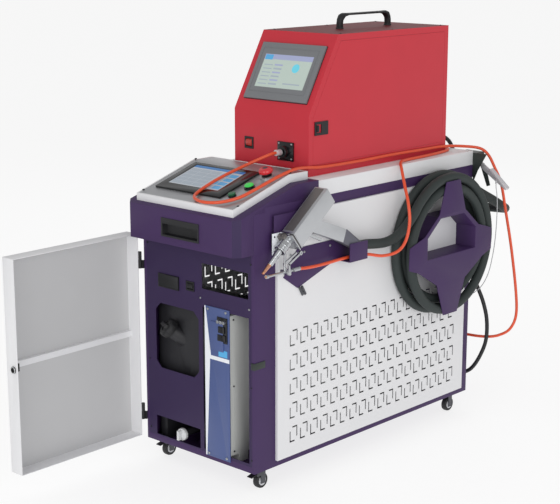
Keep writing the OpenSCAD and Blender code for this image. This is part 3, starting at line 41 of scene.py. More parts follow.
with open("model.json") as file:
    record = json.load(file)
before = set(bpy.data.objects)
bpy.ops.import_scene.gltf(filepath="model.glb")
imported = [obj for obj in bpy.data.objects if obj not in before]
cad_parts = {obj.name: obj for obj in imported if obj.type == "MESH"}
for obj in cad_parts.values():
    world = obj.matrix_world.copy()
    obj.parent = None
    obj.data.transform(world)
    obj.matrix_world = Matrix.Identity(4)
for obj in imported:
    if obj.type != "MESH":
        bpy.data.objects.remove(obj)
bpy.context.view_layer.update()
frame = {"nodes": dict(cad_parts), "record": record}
nodes = frame["nodes"]
body_of = {
    node: body
    for body, names in frame["record"]["behaviour"]["bodies"].items()
    for node in names
}

# What the looks need of the CAD frame: lengths in millimetres, places as matrices in metres
FRONT_Y = -547
REAR_Y = 547
FEEDER_TOP = 1362
CASTER_X = 205
CASTER_Y = 486
WHEEL_R = 25
HANDLE_X = 19
HANDLE_FEET = (91, 340)
# Centres on the console plate: across, up the slope
STOP_SPOT = (152, 214)
START_SPOT = (147, 139)
RESET_SPOT = (133, 77)
# Console plate, feeder's slanted front, axis of the gun's barrel and filler neck
PANEL_PLACE = Matrix.Translation((0, -0.600, 0.887)) @ Matrix.Rotation(math.radians(17.2), 4, "X")
SLANT_PLACE = Matrix.Translation((0, -0.237, 1.122)) @ Matrix.Rotation(math.atan2(240, 136), 4, "X")
BARREL_PLACE = Matrix.Translation((0.282, -0.280, 0.900)) @ Matrix.Rotation(math.radians(37.8), 4, "X")
NECK_PLACE = (
    Matrix.Translation((-0.110, -0.520, 0.430))
    @ Matrix.Rotation(math.radians(-28), 4, "Z")
    @ Matrix.Rotation(math.radians(50), 4, "X")
)


def linear(colour):
    """Linear values of a colour: an sRGB hex code, or values that are linear already."""
    if not isinstance(colour, str):
        return colour
    parts = [int(colour[i : i + 2], 16) / 255 for i in (1, 3, 5)]
    return tuple(c / 12.92 if c <= 0.04045 else ((c + 0.055) / 1.055) ** 2.4 for c in parts)


def tint(name, description, code):
    """A colour that a user may change."""
    return FloatVectorProperty(
        name=name, description=description, subtype="COLOR", size=3, min=0, max=1, default=linear(code)
    )


def amount(name, description, value, low, high):
    """A number that a user may change."""
    return FloatProperty(name=name, description=description, default=value, min=low, max=high)


class PaintColours(bpy.types.PropertyGroup):
    """Colours of the painted sheet metal."""

    purple: tint("Purple paint", "Powder coat of the cabinet and console", "#402a56")
    white: tint("White paint", "Powder coat of the panels, deck and door", "#e3e3e5")
    red: tint("Red paint", "Powder coat of the wire feeder", "#c6303d")
    blue: tint("Blue paint", "Front panel of the laser source", "#4a5a8c")


class PlasticColours(bpy.types.PropertyGroup):
    """Colours of plastic and rubber."""

    black: tint("Black plastic", "Handles, caps and frames", "#17171a")
    grey: tint("Grey plastic", "Frame of the feeder's screen", "#77797c")
    hose: tint("Hose", "Sleeve of the hose", "#2a3231")
    boot: tint("Boot", "Rubber boot of the gun", "#5c5c66")
    conduit: tint("Wire conduit", "Orange tube that guides the filler wire", "#e2532f")
    stop: tint("Emergency stop", "Mushroom of the emergency stop", "#d3202b")
    start: tint("Start button", "Lit green button", "#35b84a")
    reset: tint("Second button", "Dark green button", "#15613a")


class MetalColours(bpy.types.PropertyGroup):
    """Colours of bare metal."""

    plate: tint("Console plate", "Brushed plate of the console", "#b4b5b8")
    gun: tint("Gun", "Bead-blasted aluminium of the gun", "#bdbfc2")
    zinc: tint("Zinc", "Zinc-plated steel inside the machine", "#8d8f92")
    copper: tint("Copper", "Tip of the nozzle and the wound wire", "#d39a7c")


class DetailSizes(bpy.types.PropertyGroup):
    """Sizes of the details that the looks add, in millimetres."""

    edge: amount("Sheet edge", "Rounding of folded sheet edges", 1.2, 0.2, 3)
    screw: amount("Screw head", "Width of a panel screw's head", 7, 4, 10)
    tile_gap: amount("Tile gap", "Space between the tiles of the touchscreen", 3, 1, 6)


class StageSettings(bpy.types.PropertyGroup):
    """Camera, light and floor."""

    lens: amount("Lens", "Focal length in millimetres", 90.14, 20, 200)
    floor: tint("Floor", "Floor under the machine", "#909090")
    glow: amount("Floor glow", "Light that the floor gives off", 0.77, 0, 2)
    ambient: amount("Ambient", "Light from all sides above the floor", 0.56, 0, 2)
    key: amount("Key light", "Power of the main light in watts", 60, 0, 2000)


def settings(name):
    """One group of this scene's settings."""
    return getattr(bpy.context.scene, name)


# Materials


def add(tree, kind, values=None, links=None):
    """One node with its settings and what feeds its sockets."""
    made = tree.nodes.new(kind)
    for key, value in (values or {}).items():
        if isinstance(key, str) and hasattr(made, key):
            setattr(made, key, value)
        else:
            made.inputs[key].default_value = value
    for key, socket in (links or {}).items():
        tree.links.new(socket, made.inputs[key])
    return made


def shade(colour, factor):
    """A colour made lighter or darker, with full alpha."""
    return (*[min(1.0, c * factor) for c in colour], 1.0)


def surface(
    name,
    colour,
    roughness,
    metallic=0.0,
    grain=1.0,
    relief=0.02,
    stretch=(1, 1, 1),
    spread=0.05,
    patch=90,
    sheen=0.5,
):
    """A finish with a fine relief, and a tone that changes over patches; grain, relief, patch in mm."""
    colour = linear(colour)
    material = bpy.data.materials.new(name)
    material.use_nodes = True
    tree = material.node_tree
    tree.nodes.clear()
    out = add(tree, "ShaderNodeOutputMaterial")
    place = add(tree, "ShaderNodeTexCoord")
    spot = add(tree, "ShaderNodeMapping", {"Scale": stretch}, {"Vector": place.outputs["Object"]})
    fine, broad = (
        add(tree, "ShaderNodeTexNoise", {"Scale": 1 / (size * MM), "Detail": detail}, {"Vector": source})
        for size, detail, source in (
            (grain, 2.0, spot.outputs["Vector"]),
            (patch, 3.0, place.outputs["Object"]),
        )
    )
    tone = add(
        tree,
        "ShaderNodeMix",
        {"data_type": "RGBA", 6: shade(colour, 1 - spread), 7: shade(colour, 1 + spread)},
        {0: broad.outputs["Fac"]},
    )
    # The grain also breaks the roughness up, by 0.07 each way
    rough = add(
        tree,
        "ShaderNodeMapRange",
        {"To Min": max(0.02, roughness - 0.07), "To Max": min(1.0, roughness + 0.07)},
        {"Value": fine.outputs["Fac"]},
    )
    bump = add(
        tree,
        "ShaderNodeBump",
        {"Strength": 0.6, "Distance": relief * MM},
        {"Height": fine.outputs["Fac"]},
    )
    shader = add(
        tree,
        "ShaderNodeBsdfPrincipled",
        {"Metallic": metallic, "Specular IOR Level": sheen},
        {
            "Base Color": tone.outputs[2],
            "Roughness": rough.outputs["Result"],
            "Normal": bump.outputs["Normal"],
        },
    )
    tree.links.new(shader.outputs["BSDF"], out.inputs["Surface"])
    return material


def shader_of(material):
    """The Principled shader of a material."""
    return next(n for n in material.node_tree.nodes if n.type == "BSDF_PRINCIPLED")


def lit(name, colour, strength):
    """A backlit film behind glass: a flat colour that glows a little."""
    material = surface(name, colour, 0.25, grain=0.3, relief=0.002, spread=0.03, patch=40)
    shader = shader_of(material)
    shader.inputs["Emission Color"].default_value = shade(linear(colour), 1)
    shader.inputs["Emission Strength"].default_value = strength
    return material


def glossed(material, weight, roughness):
    """Adds a clear coat to a finish."""
    shader = shader_of(material)
    shader.inputs["Coat Weight"].default_value = weight
    shader.inputs["Coat Roughness"].default_value = roughness
    return material


def banded(material, axis, pitch, depth):
    """Adds parallel ribs across one axis, such as fins or wound wire; pitch and depth in mm."""
    tree = material.node_tree
    place = next(n for n in tree.nodes if n.type == "TEX_COORD")
    # A wave texture of scale 1 has a band every 0.314 m
    wave = add(
        tree,
        "ShaderNodeTexWave",
        {
            "wave_type": "BANDS",
            "bands_direction": axis,
            "Scale": 0.314 / (pitch * MM),
            "Distortion": 0.0,
        },
        {"Vector": place.outputs["Object"]},
    )
    first = next(n for n in tree.nodes if n.type == "BUMP")
    ribs = add(
        tree,
        "ShaderNodeBump",
        {"Strength": 0.5, "Distance": depth * MM},
        {"Height": wave.outputs["Fac"], "Normal": first.outputs["Normal"]},
    )
    tree.links.new(ribs.outputs["Normal"], shader_of(material).inputs["Normal"])
    return material


def make_finishes():
    """Every finish of the machine, by a short name."""
    paint = settings("welder_paint")
    plastic = settings("welder_plastic")
    metal = settings("welder_metal")
    return {
        # Powder coat with a fine orange peel: matt, slightly broken highlights
        "purple": surface(
            "textured purple powder coat", paint.purple, 0.52, grain=1.6, relief=0.03, sheen=0.3
        ),
        # The same purple made darker as painted shade, for the recessed front plate and the console's
        # chamfers
        "purple_painted_shade": surface(
            "purple powder coat with painted shade", "#33244a", 0.52, grain=1.6, relief=0.03, sheen=0.3
        ),
        "white": surface("satin white powder coat", paint.white, 0.42, grain=1.8, spread=0.02),
        "red": surface("satin red powder coat", paint.red, 0.36, grain=1.8, spread=0.04, sheen=0.3),
        # The same red made darker as painted shade, for the feeder's upward top faces
        "red_top_painted_shade": surface("red powder coat with painted top shade", "#701c24", 0.6, grain=1.8, sheen=0.1),
        "inner_grey": surface("grey primer", "#c2c2c3", 0.5, grain=1.8, spread=0.02),
        "chassis": surface("grey passivated sheet", "#c8cac7", 0.45, grain=1.2, relief=0.01, spread=0.04),
        "blue": surface("blue enamel", paint.blue, 0.4, grain=1.5, relief=0.015),
        "pale": surface("white enamel", "#eef1f6", 0.4, grain=1.5, relief=0.015, spread=0.02),
        # Plate brushed across the machine: streaks along X, tens of millimetres long
        "plate": surface(
            "brushed stainless steel",
            metal.plate,
            0.42,
            0.75,
            grain=0.8,
            relief=0.01,
            stretch=(0.02, 1, 1),
            patch=160,
        ),
        # Bead-blasted and clear-anodised aluminium: a soft even sheen
        "gun": surface(
            "bead-blasted aluminium", metal.gun, 0.38, 0.8, grain=0.5, relief=0.01, spread=0.06, patch=30
        ),
        "gun_dark": surface(
            "dark anodised aluminium", "#7b7775", 0.45, 0.6, grain=0.5, relief=0.01, patch=30
        ),
        # Turned and chromed tube: bright with faint turning marks
        "chrome": surface("chromed steel", "#b9bbbe", 0.25, 1.0, grain=0.6, relief=0.004, spread=0.02),
        "copper": surface(
            "turned copper", metal.copper, 0.28, 1.0, grain=0.5, relief=0.01, spread=0.1, patch=15
        ),
        # Zinc plate: grey with slow cloudy tone
        "zinc": surface(
            "zinc-plated steel", metal.zinc, 0.4, 0.9, grain=0.9, relief=0.01, spread=0.12, patch=12
        ),
        "bracket": surface("dark grey enamel on steel", "#45464c", 0.5, 0.1, grain=1.4),
        "hook": surface("dark green-grey enamel", "#262e2a", 0.5, grain=1.4),
        "silver": surface("bright zinc plate", "#cfced1", 0.35, 0.35, grain=0.9, relief=0.01, spread=0.06),
        "tank": surface("dark grey polyethylene", "#232327", 0.5, grain=1.2, relief=0.03),
        "screw": surface("nickel-plated screw", "#b9bbbd", 0.3, 0.95, grain=0.5, relief=0.005),
        "dark_screw": surface("blackened screw", "#3a3b3e", 0.4, 0.8, grain=0.5, relief=0.005),
        # Moulded polymer with a spark-eroded texture, finer than a millimetre
        "black": surface("textured black ABS", plastic.black, 0.55, grain=0.7, relief=0.03, spread=0.1),
        "gloss_black": surface("gloss black ABS", "#0e0f12", 0.16, grain=4, relief=0.004),
        "grey": surface("moulded grey ABS", plastic.grey, 0.5, grain=0.7, spread=0.03),
        "pale_plastic": surface("moulded white polypropylene", "#d9dadc", 0.45, grain=0.9),
        "red_plastic": glossed(
            surface("gloss red plastic", plastic.stop, 0.3, grain=3, relief=0.004, spread=0.03), 0.4, 0.12
        ),
        "glow_red": lit("lit red rocker", "#b0372f", 0.12),
        "glow_green": lit("lit green lens", plastic.start, 0.35),
        "reset": surface("dark green plastic", plastic.reset, 0.3, grain=3, relief=0.004),
        "glass": surface("black glass of the screen", "#0b0d12", 0.07, grain=8, relief=0.001, spread=0.02),
        # Screen colours: plain tiles and bars without any words
        "page": lit("screen page", "#b3bac2", 0.2),
        "tile": lit("screen tile, grey", "#9ca7b2", 0.2),
        "tile_blue": lit("screen tile, blue", "#4f9bc9", 0.3),
        "bar_blue": lit("screen bar, blue", "#2f6ca8", 0.3),
        "cream": lit("screen page, cream", "#b0beb6", 0.22),
        "lilac": lit("screen bar, lilac", "#9aa0c0", 0.22),
        "cyan": lit("screen mark, cyan", "#63bdd0", 0.35),
        # Rubber: matt, slightly dusty
        "tyre": surface("black polyurethane tyre", "#1d1d1f", 0.6, grain=0.9, relief=0.03, spread=0.1),
        "hub": surface("white nylon hub", "#dcdde0", 0.5, grain=0.9),
        "boot": surface("ribbed rubber boot", plastic.boot, 0.62, grain=0.8),
        # Woven sleeve over the hose: a fine broken grain all round
        "hose": surface(
            "woven hose sleeve", plastic.hose, 0.68, grain=1.6, relief=0.12, spread=0.14, patch=25
        ),
        "conduit": surface(
            "orange polyurethane tube", plastic.conduit, 0.34, grain=2.5, relief=0.01, spread=0.03
        ),
        "cable": surface("black PVC cable", "#161719", 0.42, relief=0.01, spread=0.1),
        "lead": surface("pale grey PVC lead", "#b9babc", 0.5, relief=0.01),
        # Wound wire and cooling fins: parallel ribs
        "wire": banded(surface("wound copper wire", metal.copper, 0.3, 1.0, grain=0.8), "X", 1.6, 0.5),
        "fins": banded(surface("aluminium fins", "#a3a7aa", 0.35, 0.9, grain=0.8), "Y", 4.0, 1.5),
    }


finishes = {}


def finish_of(name):
    """One finish, made with the others the first time that it is asked for."""
    if not finishes:
        finishes.update(make_finishes())
    return finishes[name]


# Shapes

# Corners of more degrees than this stay sharp in the shading, and soften rounds them
SHARP = 32


def at(x, y, z):
    """A place in metres from millimetres."""
    return Vector((x * MM, y * MM, z * MM))


def keep_sharp(bm, angle):
    """Smooth faces with the corners above an angle left sharp."""
    for face in bm.faces:
        face.smooth = True
    for edge in bm.edges:
        edge.smooth = len(edge.link_faces) != 2 or edge.calc_face_angle(0) < math.radians(angle)


def soften(bm, width, segments=2):
    """Rounds every sharp edge by a width in millimetres."""
    limit = math.radians(SHARP)
    sharp = [e for e in bm.edges if len(e.link_faces) == 2 and e.calc_face_angle(0) > limit]
    if sharp and width:
        bmesh.ops.bevel(
            bm,
            geom=sharp,
            offset=width * MM,
            segments=segments,
            profile=0.5,
            affect="EDGES",
            material=-1,
            clamp_overlap=True,
        )


def piece(name, bm, finish_names, body="machine", angle=SHARP):
    """A finished piece that rides on a body."""
    bm.normal_update()
    keep_sharp(bm, angle)
    mesh = bpy.data.meshes.new(name)
    bm.to_mesh(mesh)
    bm.free()
    for finish in finish_names:
        mesh.materials.append(finish_of(finish))
    obj = bpy.data.objects.new(name, mesh)
    bpy.context.scene.collection.objects.link(obj)
    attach(obj, body)
    return obj


def stand_in(node, bm, finish_names, angle=SHARP):
    """A finished piece that takes a CAD node's place on the node's body."""
    obj = piece(f"{node}_look", bm, finish_names, body_of[node], angle)
    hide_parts(node)


def refine(node, finish_names, edge=0.0, region=None, segments=2, merge=True):
    """A copy of a CAD node with merged faces, rounded edges and a finish for each region of it."""
    bm = bmesh.new()
    bm.from_mesh(nodes[node].data)
    bmesh.ops.remove_doubles(bm, verts=bm.verts, dist=0.004 * MM)
    if merge:
        bmesh.ops.dissolve_limit(bm, angle_limit=math.radians(0.4), verts=bm.verts, edges=bm.edges)
    soften(bm, edge, segments=segments)
    bm.normal_update()
    if region:
        for face in bm.faces:
            face.material_index = region(face.calc_center_median() / MM, face.normal)
    stand_in(node, bm, finish_names)


def cuboid(bm, x, y, z, index=0, place=None):
    """A box between bounds in millimetres, moved by a place if one is given."""
    made = bmesh.ops.create_cube(bm, size=1.0)["verts"]
    size = Matrix.Diagonal(((x[1] - x[0]) * MM, (y[1] - y[0]) * MM, (z[1] - z[0]) * MM, 1))
    centre = Matrix.Translation(at((x[0] + x[1]) / 2, (y[0] + y[1]) / 2, (z[0] + z[1]) / 2))
    bmesh.ops.transform(bm, matrix=(place or Matrix()) @ centre @ size, verts=made)
    for face in {f for v in made for f in v.link_faces}:
        face.material_index = index


def turned(bm, outline, place, index=0, steps=32):
    """A shape turned about a place's Z axis from (radius, height) pairs in millimetres."""
    ring = [bm.verts.new((r * MM, 0, h * MM)) for r, h in outline]
    chain = [bm.edges.new(pair) for pair in zip(ring, ring[1:])]
    bmesh.ops.spin(
        bm,
        geom=ring + chain,
        cent=(0, 0, 0),
        axis=(0, 0, 1),
        angle=math.tau,
        steps=steps,
        use_merge=True,
        use_duplicate=False,
    )
    # A full spin with merging leaves its skin joined to the first ring
    faces = {f for v in ring for f in v.link_faces}
    queue = list(faces)
    while queue:
        for edge in queue.pop().edges:
            for face in edge.link_faces:
                if face not in faces:
                    faces.add(face)
                    queue.append(face)
    verts = list({v for f in faces for v in f.verts})
    bmesh.ops.remove_doubles(bm, verts=verts, dist=0.002 * MM)
    faces = [f for f in faces if f.is_valid]
    bmesh.ops.recalc_face_normals(bm, faces=faces)
    for face in faces:
        face.material_index = index
    verts = list({v for f in faces for v in f.verts})
    bmesh.ops.transform(bm, matrix=place, verts=verts)


def facing(x, y, z, direction):
    """A place whose Z axis points along a direction."""
    turn = Vector(direction).to_track_quat("Z", "Y").to_matrix().to_4x4()
    return Matrix.Translation(at(x, y, z)) @ turn


# Half outline of a pan head with a round socket, as shares of the head's radius
SCREW_HEAD = ((0, 0.16), (0.42, 0.16), (0.46, 0.62), (0.8, 0.55), (1, 0.24))


def screw(bm, place, width):
    """A pan head screw with a socket, sunk a little into its sheet."""
    r = width / 2
    turned(bm, [(x * r, y * r) for x, y in SCREW_HEAD] + [(r, -0.3)], place, steps=12)


def screws(name, places, direction, width, finish="screw"):
    """A group of screw heads that face one way."""
    bm = bmesh.new()
    for x, y, z in places:
        screw(bm, facing(x, y, z, direction), width)
    piece(name, bm, [finish])


def smooth_route(points, step=6.0):
    """A dense Catmull-Rom line through route points in millimetres."""
    route = [Vector(p) for p in points]
    ends = [2 * route[0] - route[1]] + route + [2 * route[-1] - route[-2]]
    line = []
    for a, b, c, d in zip(ends, ends[1:], ends[2:], ends[3:]):
        parts = max(2, round((c - b).length / step))
        for i in range(parts):
            t = i / parts
            line.append(
                0.5
                * (
                    2 * b
                    + (c - a) * t
                    + (2 * a - 5 * b + 4 * c - d) * t * t
                    + (3 * b - a - 3 * c + d) * t * t * t
                )
            )
    return line + [route[-1]]


def flexible(name, line, width, finish, replaced):
    """A round cord along a dense line: a curve with a bevel that stands for CAD nodes."""
    curve = bpy.data.curves.new(name, "CURVE")
    curve.dimensions = "3D"
    curve.bevel_depth = width / 2 * MM
    curve.bevel_resolution = 4
    curve.use_fill_caps = True
    spline = curve.splines.new("POLY")
    spline.points.add(len(line) - 1)
    for point, spot in zip(spline.points, line):
        point.co = (*(spot * MM), 1)
    spline.use_smooth = True
    curve.materials.append(finish_of(finish))
    obj = bpy.data.objects.new(name, curve)
    bpy.context.scene.collection.objects.link(obj)
    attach(obj, "machine")
    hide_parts(*replaced)


# Operators, one for each piece or group of like pieces


class WELDER_OT_stage(bpy.types.Operator):
    """Pale floor, soft studio light and the camera"""

    bl_idname = "welder.stage"
    bl_label = "Stage"

    def execute(self, context):
        stage = settings("welder_stage")
        bm = bmesh.new()
        bmesh.ops.create_grid(bm, x_segments=1, y_segments=1, size=30)
        mesh = bpy.data.meshes.new("floor")
        bm.to_mesh(mesh)
        bm.free()
        # The floor also glows, so that shadows stay faint as on a light table
        finish = surface("white studio floor", stage.floor, 0.9, grain=30, relief=0.0, spread=0.005)
        mesh.materials.append(finish)
        shader = shader_of(finish)
        shader.inputs["Specular IOR Level"].default_value = 0.0
        shader.inputs["Emission Color"].default_value = (1, 1, 1, 1)
        shader.inputs["Emission Strength"].default_value = stage.glow
        floor = bpy.data.objects.new("floor", mesh)
        context.scene.collection.objects.link(floor)

        world = bpy.data.worlds.new("studio")
        world.use_nodes = True
        tree = world.node_tree
        background = next(n for n in tree.nodes if n.type == "BACKGROUND")
        seen = add(tree, "ShaderNodeLightPath")
        level = add(
            tree,
            "ShaderNodeMapRange",
            {"To Min": stage.ambient, "To Max": 1.0},
            {"Value": seen.outputs["Is Camera Ray"]},
        )
        background.inputs["Color"].default_value = (1, 1, 1, 1)
        tree.links.new(level.outputs["Result"], background.inputs["Strength"])
        context.scene.world = world
        context.scene.view_settings.view_transform = "Standard"

        for name, place, aim, size, share in (
            ("key_light", (4.6, -2.6, 1.9), (0, 0, 0.8), 3.0, 1),
            ("front_light", (1.2, -5.4, 1.7), (0, -0.3, 0.8), 3.0, 0.8),
            ("rear_light", (-2.4, 3.6, 3.4), (0, 0, 0.8), 2.6, 0.4),
        ):
            light = bpy.data.lights.new(name, "AREA")
            light.shape = "DISK"
            light.size = size
            light.energy = stage.key * share
            lamp = bpy.data.objects.new(name, light)
            lamp.location = place
            lamp.rotation_euler = (Vector(aim) - Vector(place)).to_track_quat("-Z", "Y").to_euler()
            context.scene.collection.objects.link(lamp)

        # Fitted to the edges and corners of the photo
        view = bpy.data.cameras.new("photo_view")
        view.sensor_width = 36
        view.lens = stage.lens
        view.shift_x = 0.0041
        view.shift_y = 0.0084
        view.clip_end = 100
        camera = bpy.data.objects.new("photo_view", view)
        camera.location = (2.995, -3.425, 1.677)
        camera.rotation_euler = (math.radians(90 - 13.15), 0, math.radians(42.75))
        context.scene.collection.objects.link(camera)
        context.scene.camera = camera
        return {"FINISHED"}


# Routes in millimetres. The hose leaves the gun's boot, turns in its coil and ends at the rear panel
HOSE_D = 32
HOSE_LEAD = [
    (282, -120, 714), (282, -84, 714), (284, -44, 709), (288, -4, 706), (293, 36, 711), (299, 72, 728),
    (305, 103, 755), (310, 130, 786),
]
HOSE_TAIL = [
    (268, 470, 834), (272, 510, 812), (278, 560, 785), (284, 615, 757), (285, 665, 731), (272, 710, 713),
    (240, 738, 704), (195, 745, 700), (150, 730, 700), (112, 700, 700), (88, 655, 700), (80, 610, 700),
    (80, 563, 700),
]
# The coil lies in the plane of Y and Z, two layers deep, and each turn inwards is a pitch smaller
COIL_CENTRE = (321, 645)
COIL_R = 238
COIL_PITCH = 36
COIL_FRONT_X = 310.7
COIL_BACK_X = 265.3
COIL_START = 135
COIL_SWEEP = 3 * 360 + 75
COIL_RINGS = 24


def coil_spot(a):
    """A point of the coil after a degrees: it winds in on the front layer and out on the back one."""
    radius = COIL_R - COIL_PITCH * min(a, COIL_SWEEP - a) / 360
    share = min(1, max(0, (a - COIL_SWEEP / 2) / 180 + 0.5))
    turn = math.radians(COIL_START - a)
    return (
        COIL_FRONT_X + (COIL_BACK_X - COIL_FRONT_X) * share,
        COIL_CENTRE[0] + radius * math.cos(turn),
        COIL_CENTRE[1] + radius * math.sin(turn),
    )


class WELDER_OT_hose(bpy.types.Operator):
    """Hose from the gun through its coil to the rear panel"""

    bl_idname = "welder.hose"
    bl_label = "Hose"

    def execute(self, context):
        steps = round(COIL_SWEEP / 360 * COIL_RINGS)
        coil = [coil_spot(COIL_SWEEP * i / steps) for i in range(steps + 1)]
        line = smooth_route(HOSE_LEAD + coil + HOSE_TAIL, 12)
        replaced = ("hose_coil", "hose_ends")
        flexible("hose", line, HOSE_D, "hose", replaced)
        return {"FINISHED"}


WIRE_TUBE = [
    (84, -285.3, 1005), (84, -297, 1005), (81, -313, 1001.5), (66, -336, 991), (40, -385, 970),
    (22, -465, 943.5), (15, -530, 919.5), (24, -576, 903.5), (62, -598, 897.5), (107, -601, 897.5),
    (150, -584, 902.5), (180, -546, 913.5), (192, -491, 931.5), (200, -402, 958.5), (198, -325, 971.5),
    (186, -258, 967.5), (183, -180, 960), (182.6, 0, 957), (182.6, 160, 958), (182.6, 320, 956),
    (184, 450, 954), (208, 530, 948), (248, 575, 940), (274, 590, 918), (292, 605, 874),
    (311, 620, 818), (321, 640, 718), (340, 655, 586), (359, 665, 434), (367, 660, 348),
    (352, 648, 297), (319, 634, 271), (278, 621, 259), (216, 606, 256), (150, 590, 264),
    (96, 578, 300), (60, 574, 380), (47, 574, 540), (47, 574, 720), (60, 574, 850),
    (78, 570, 912), (100, 552, 943), (130, 520, 942), (182, 480, 939.4), (202, 400, 939.4),
    (210, 300, 939.4), (215, 200, 939.6), (238, 146, 941), (262, 120, 922), (292, 98, 878),
    (324, 78, 823), (336, 70, 767), (336, 52, 711), (328, 20, 680), (310, -30, 672),
    (296, -88, 684), (288, -140, 688), (286, -200, 688), (285, -290, 686), (284, -350, 687),
    (282, -392, 690),
]
FEEDER_CABLE = [
    (120, 485, 985), (120, 506, 984), (124, 532, 974), (134, 558, 950), (144, 572, 905),
    (150, 578, 840), (160, 580, 740), (180, 582, 620), (214, 586, 520), (244, 590, 450),
    (268, 598, 390), (282, 604, 325), (280, 606, 250), (258, 602, 185), (228, 596, 136),
    (194, 588, 114), (170, 581, 110), (170, 565.4, 110),
]
EARTH_LEAD = [
    (320, 575.5, 824), (320, 576, 812), (320, 582, 790), (319, 588, 755), (317, 592, 700),
    (314, 592, 635), (306, 592, 570), (290, 592, 500), (266, 588, 450), (240, 578, 422),
    (222, 566, 412), (214, 553, 410),
]


class WELDER_OT_cords(bpy.types.Operator):
    """Wire conduit, feeder cable and earth lead"""

    bl_idname = "welder.cords"
    bl_label = "Cords"

    def execute(self, context):
        for name, node, route, width, finish, slot, stiffness in (
            ("wire_conduit", "wire_tube", WIRE_TUBE, 10, "conduit", "orange_tube", "stiff"),
            ("feeder_cord", "feeder_cable", FEEDER_CABLE, 14, "cable", "black_plastic", "stiff"),
            ("earth_cord", "earth_lead", EARTH_LEAD, 3, "lead", "white_plastic", "medium"),
        ):
            line = smooth_route(route)
            flexible(name, line, width, finish, (node,))
        return {"FINISHED"}


class WELDER_OT_cabinet(bpy.types.Operator):
    """Frame, deck, side panels, front plate and rear panel"""

    bl_idname = "welder.cabinet"
    bl_label = "Cabinet"

    def execute(self, context):
        sizes = settings("welder_sizes")
        refine(
            "cabinet_frame",
            ["purple", "black", "zinc"],
            0.6,
            # Purple sheet, black pan underside and caster seats, zinc king pins
            lambda c, n: 0 if c.z > 67.9 else (1 if c.z > 64.5 else 2),
        )
        refine("top_cover", ["white"], sizes.edge)
        refine("side_panel_right", ["white"])
        refine("side_panel_left", ["white"])
        # Painted shade: the recessed plate takes a darker purple. Black for what stands out of the plates:
        # rocker housing and glands
        refine(
            "front_plate",
            ["purple_painted_shade", "gloss_black"],
            region=lambda c, n: 1 if c.y < FRONT_Y - 0.2 or c.y > FRONT_Y + 3 else 0,
        )
        refine("rear_panel", ["purple", "black"], region=lambda c, n: 1 if c.y > REAR_Y + 0.2 else 0)
        screws("bay_screws", [(14, FRONT_Y, 582), (220, FRONT_Y, 582)], (0, -1, 0), sizes.screw)
        places = [(x, FRONT_Y, z) for x in (-222, 228) for z in (110, 340, 720)]
        screws("front_plate_screws", places, (0, -1, 0), sizes.screw * 0.8, "dark_screw")
        places = [(x, REAR_Y, z) for x in (-218, 0, 218) for z in (104, 838)]
        places += [(x, REAR_Y, 470) for x in (-218, 218)]
        screws("rear_panel_screws", places, (0, 1, 0), sizes.screw, "dark_screw")
        bm = bmesh.new()
        # X, Z, inner width and length of each gland: a hexagonal nut with a round cap
        for x, z, d, l in ((80, 700, 40, 16), (170, 110, 22, 18), (214, 410, 7, 6), (-150, 170, 30, 24)):
            place = facing(x, REAR_Y, z, (0, 1, 0))
            r = d / 2
            nut = [(r + 7, 0), (r + 7, 0.3 * l), (r + 5, 0.36 * l), (r + 0.2, 0.36 * l)]
            cap = [(r + 2, 0.34 * l), (r + 3, 0.5 * l), (r + 3, 0.8 * l), (r + 0.2, 0.98 * l)]
            turned(bm, nut, place, steps=6)
            turned(bm, cap, place, steps=24)
        piece("cable_glands", bm, ["black"])
        return {"FINISHED"}


def on_plate(spot, h=0):
    """A place h millimetres over a spot of the console plate."""
    return PANEL_PLACE @ Matrix.Translation(at(*spot, h))


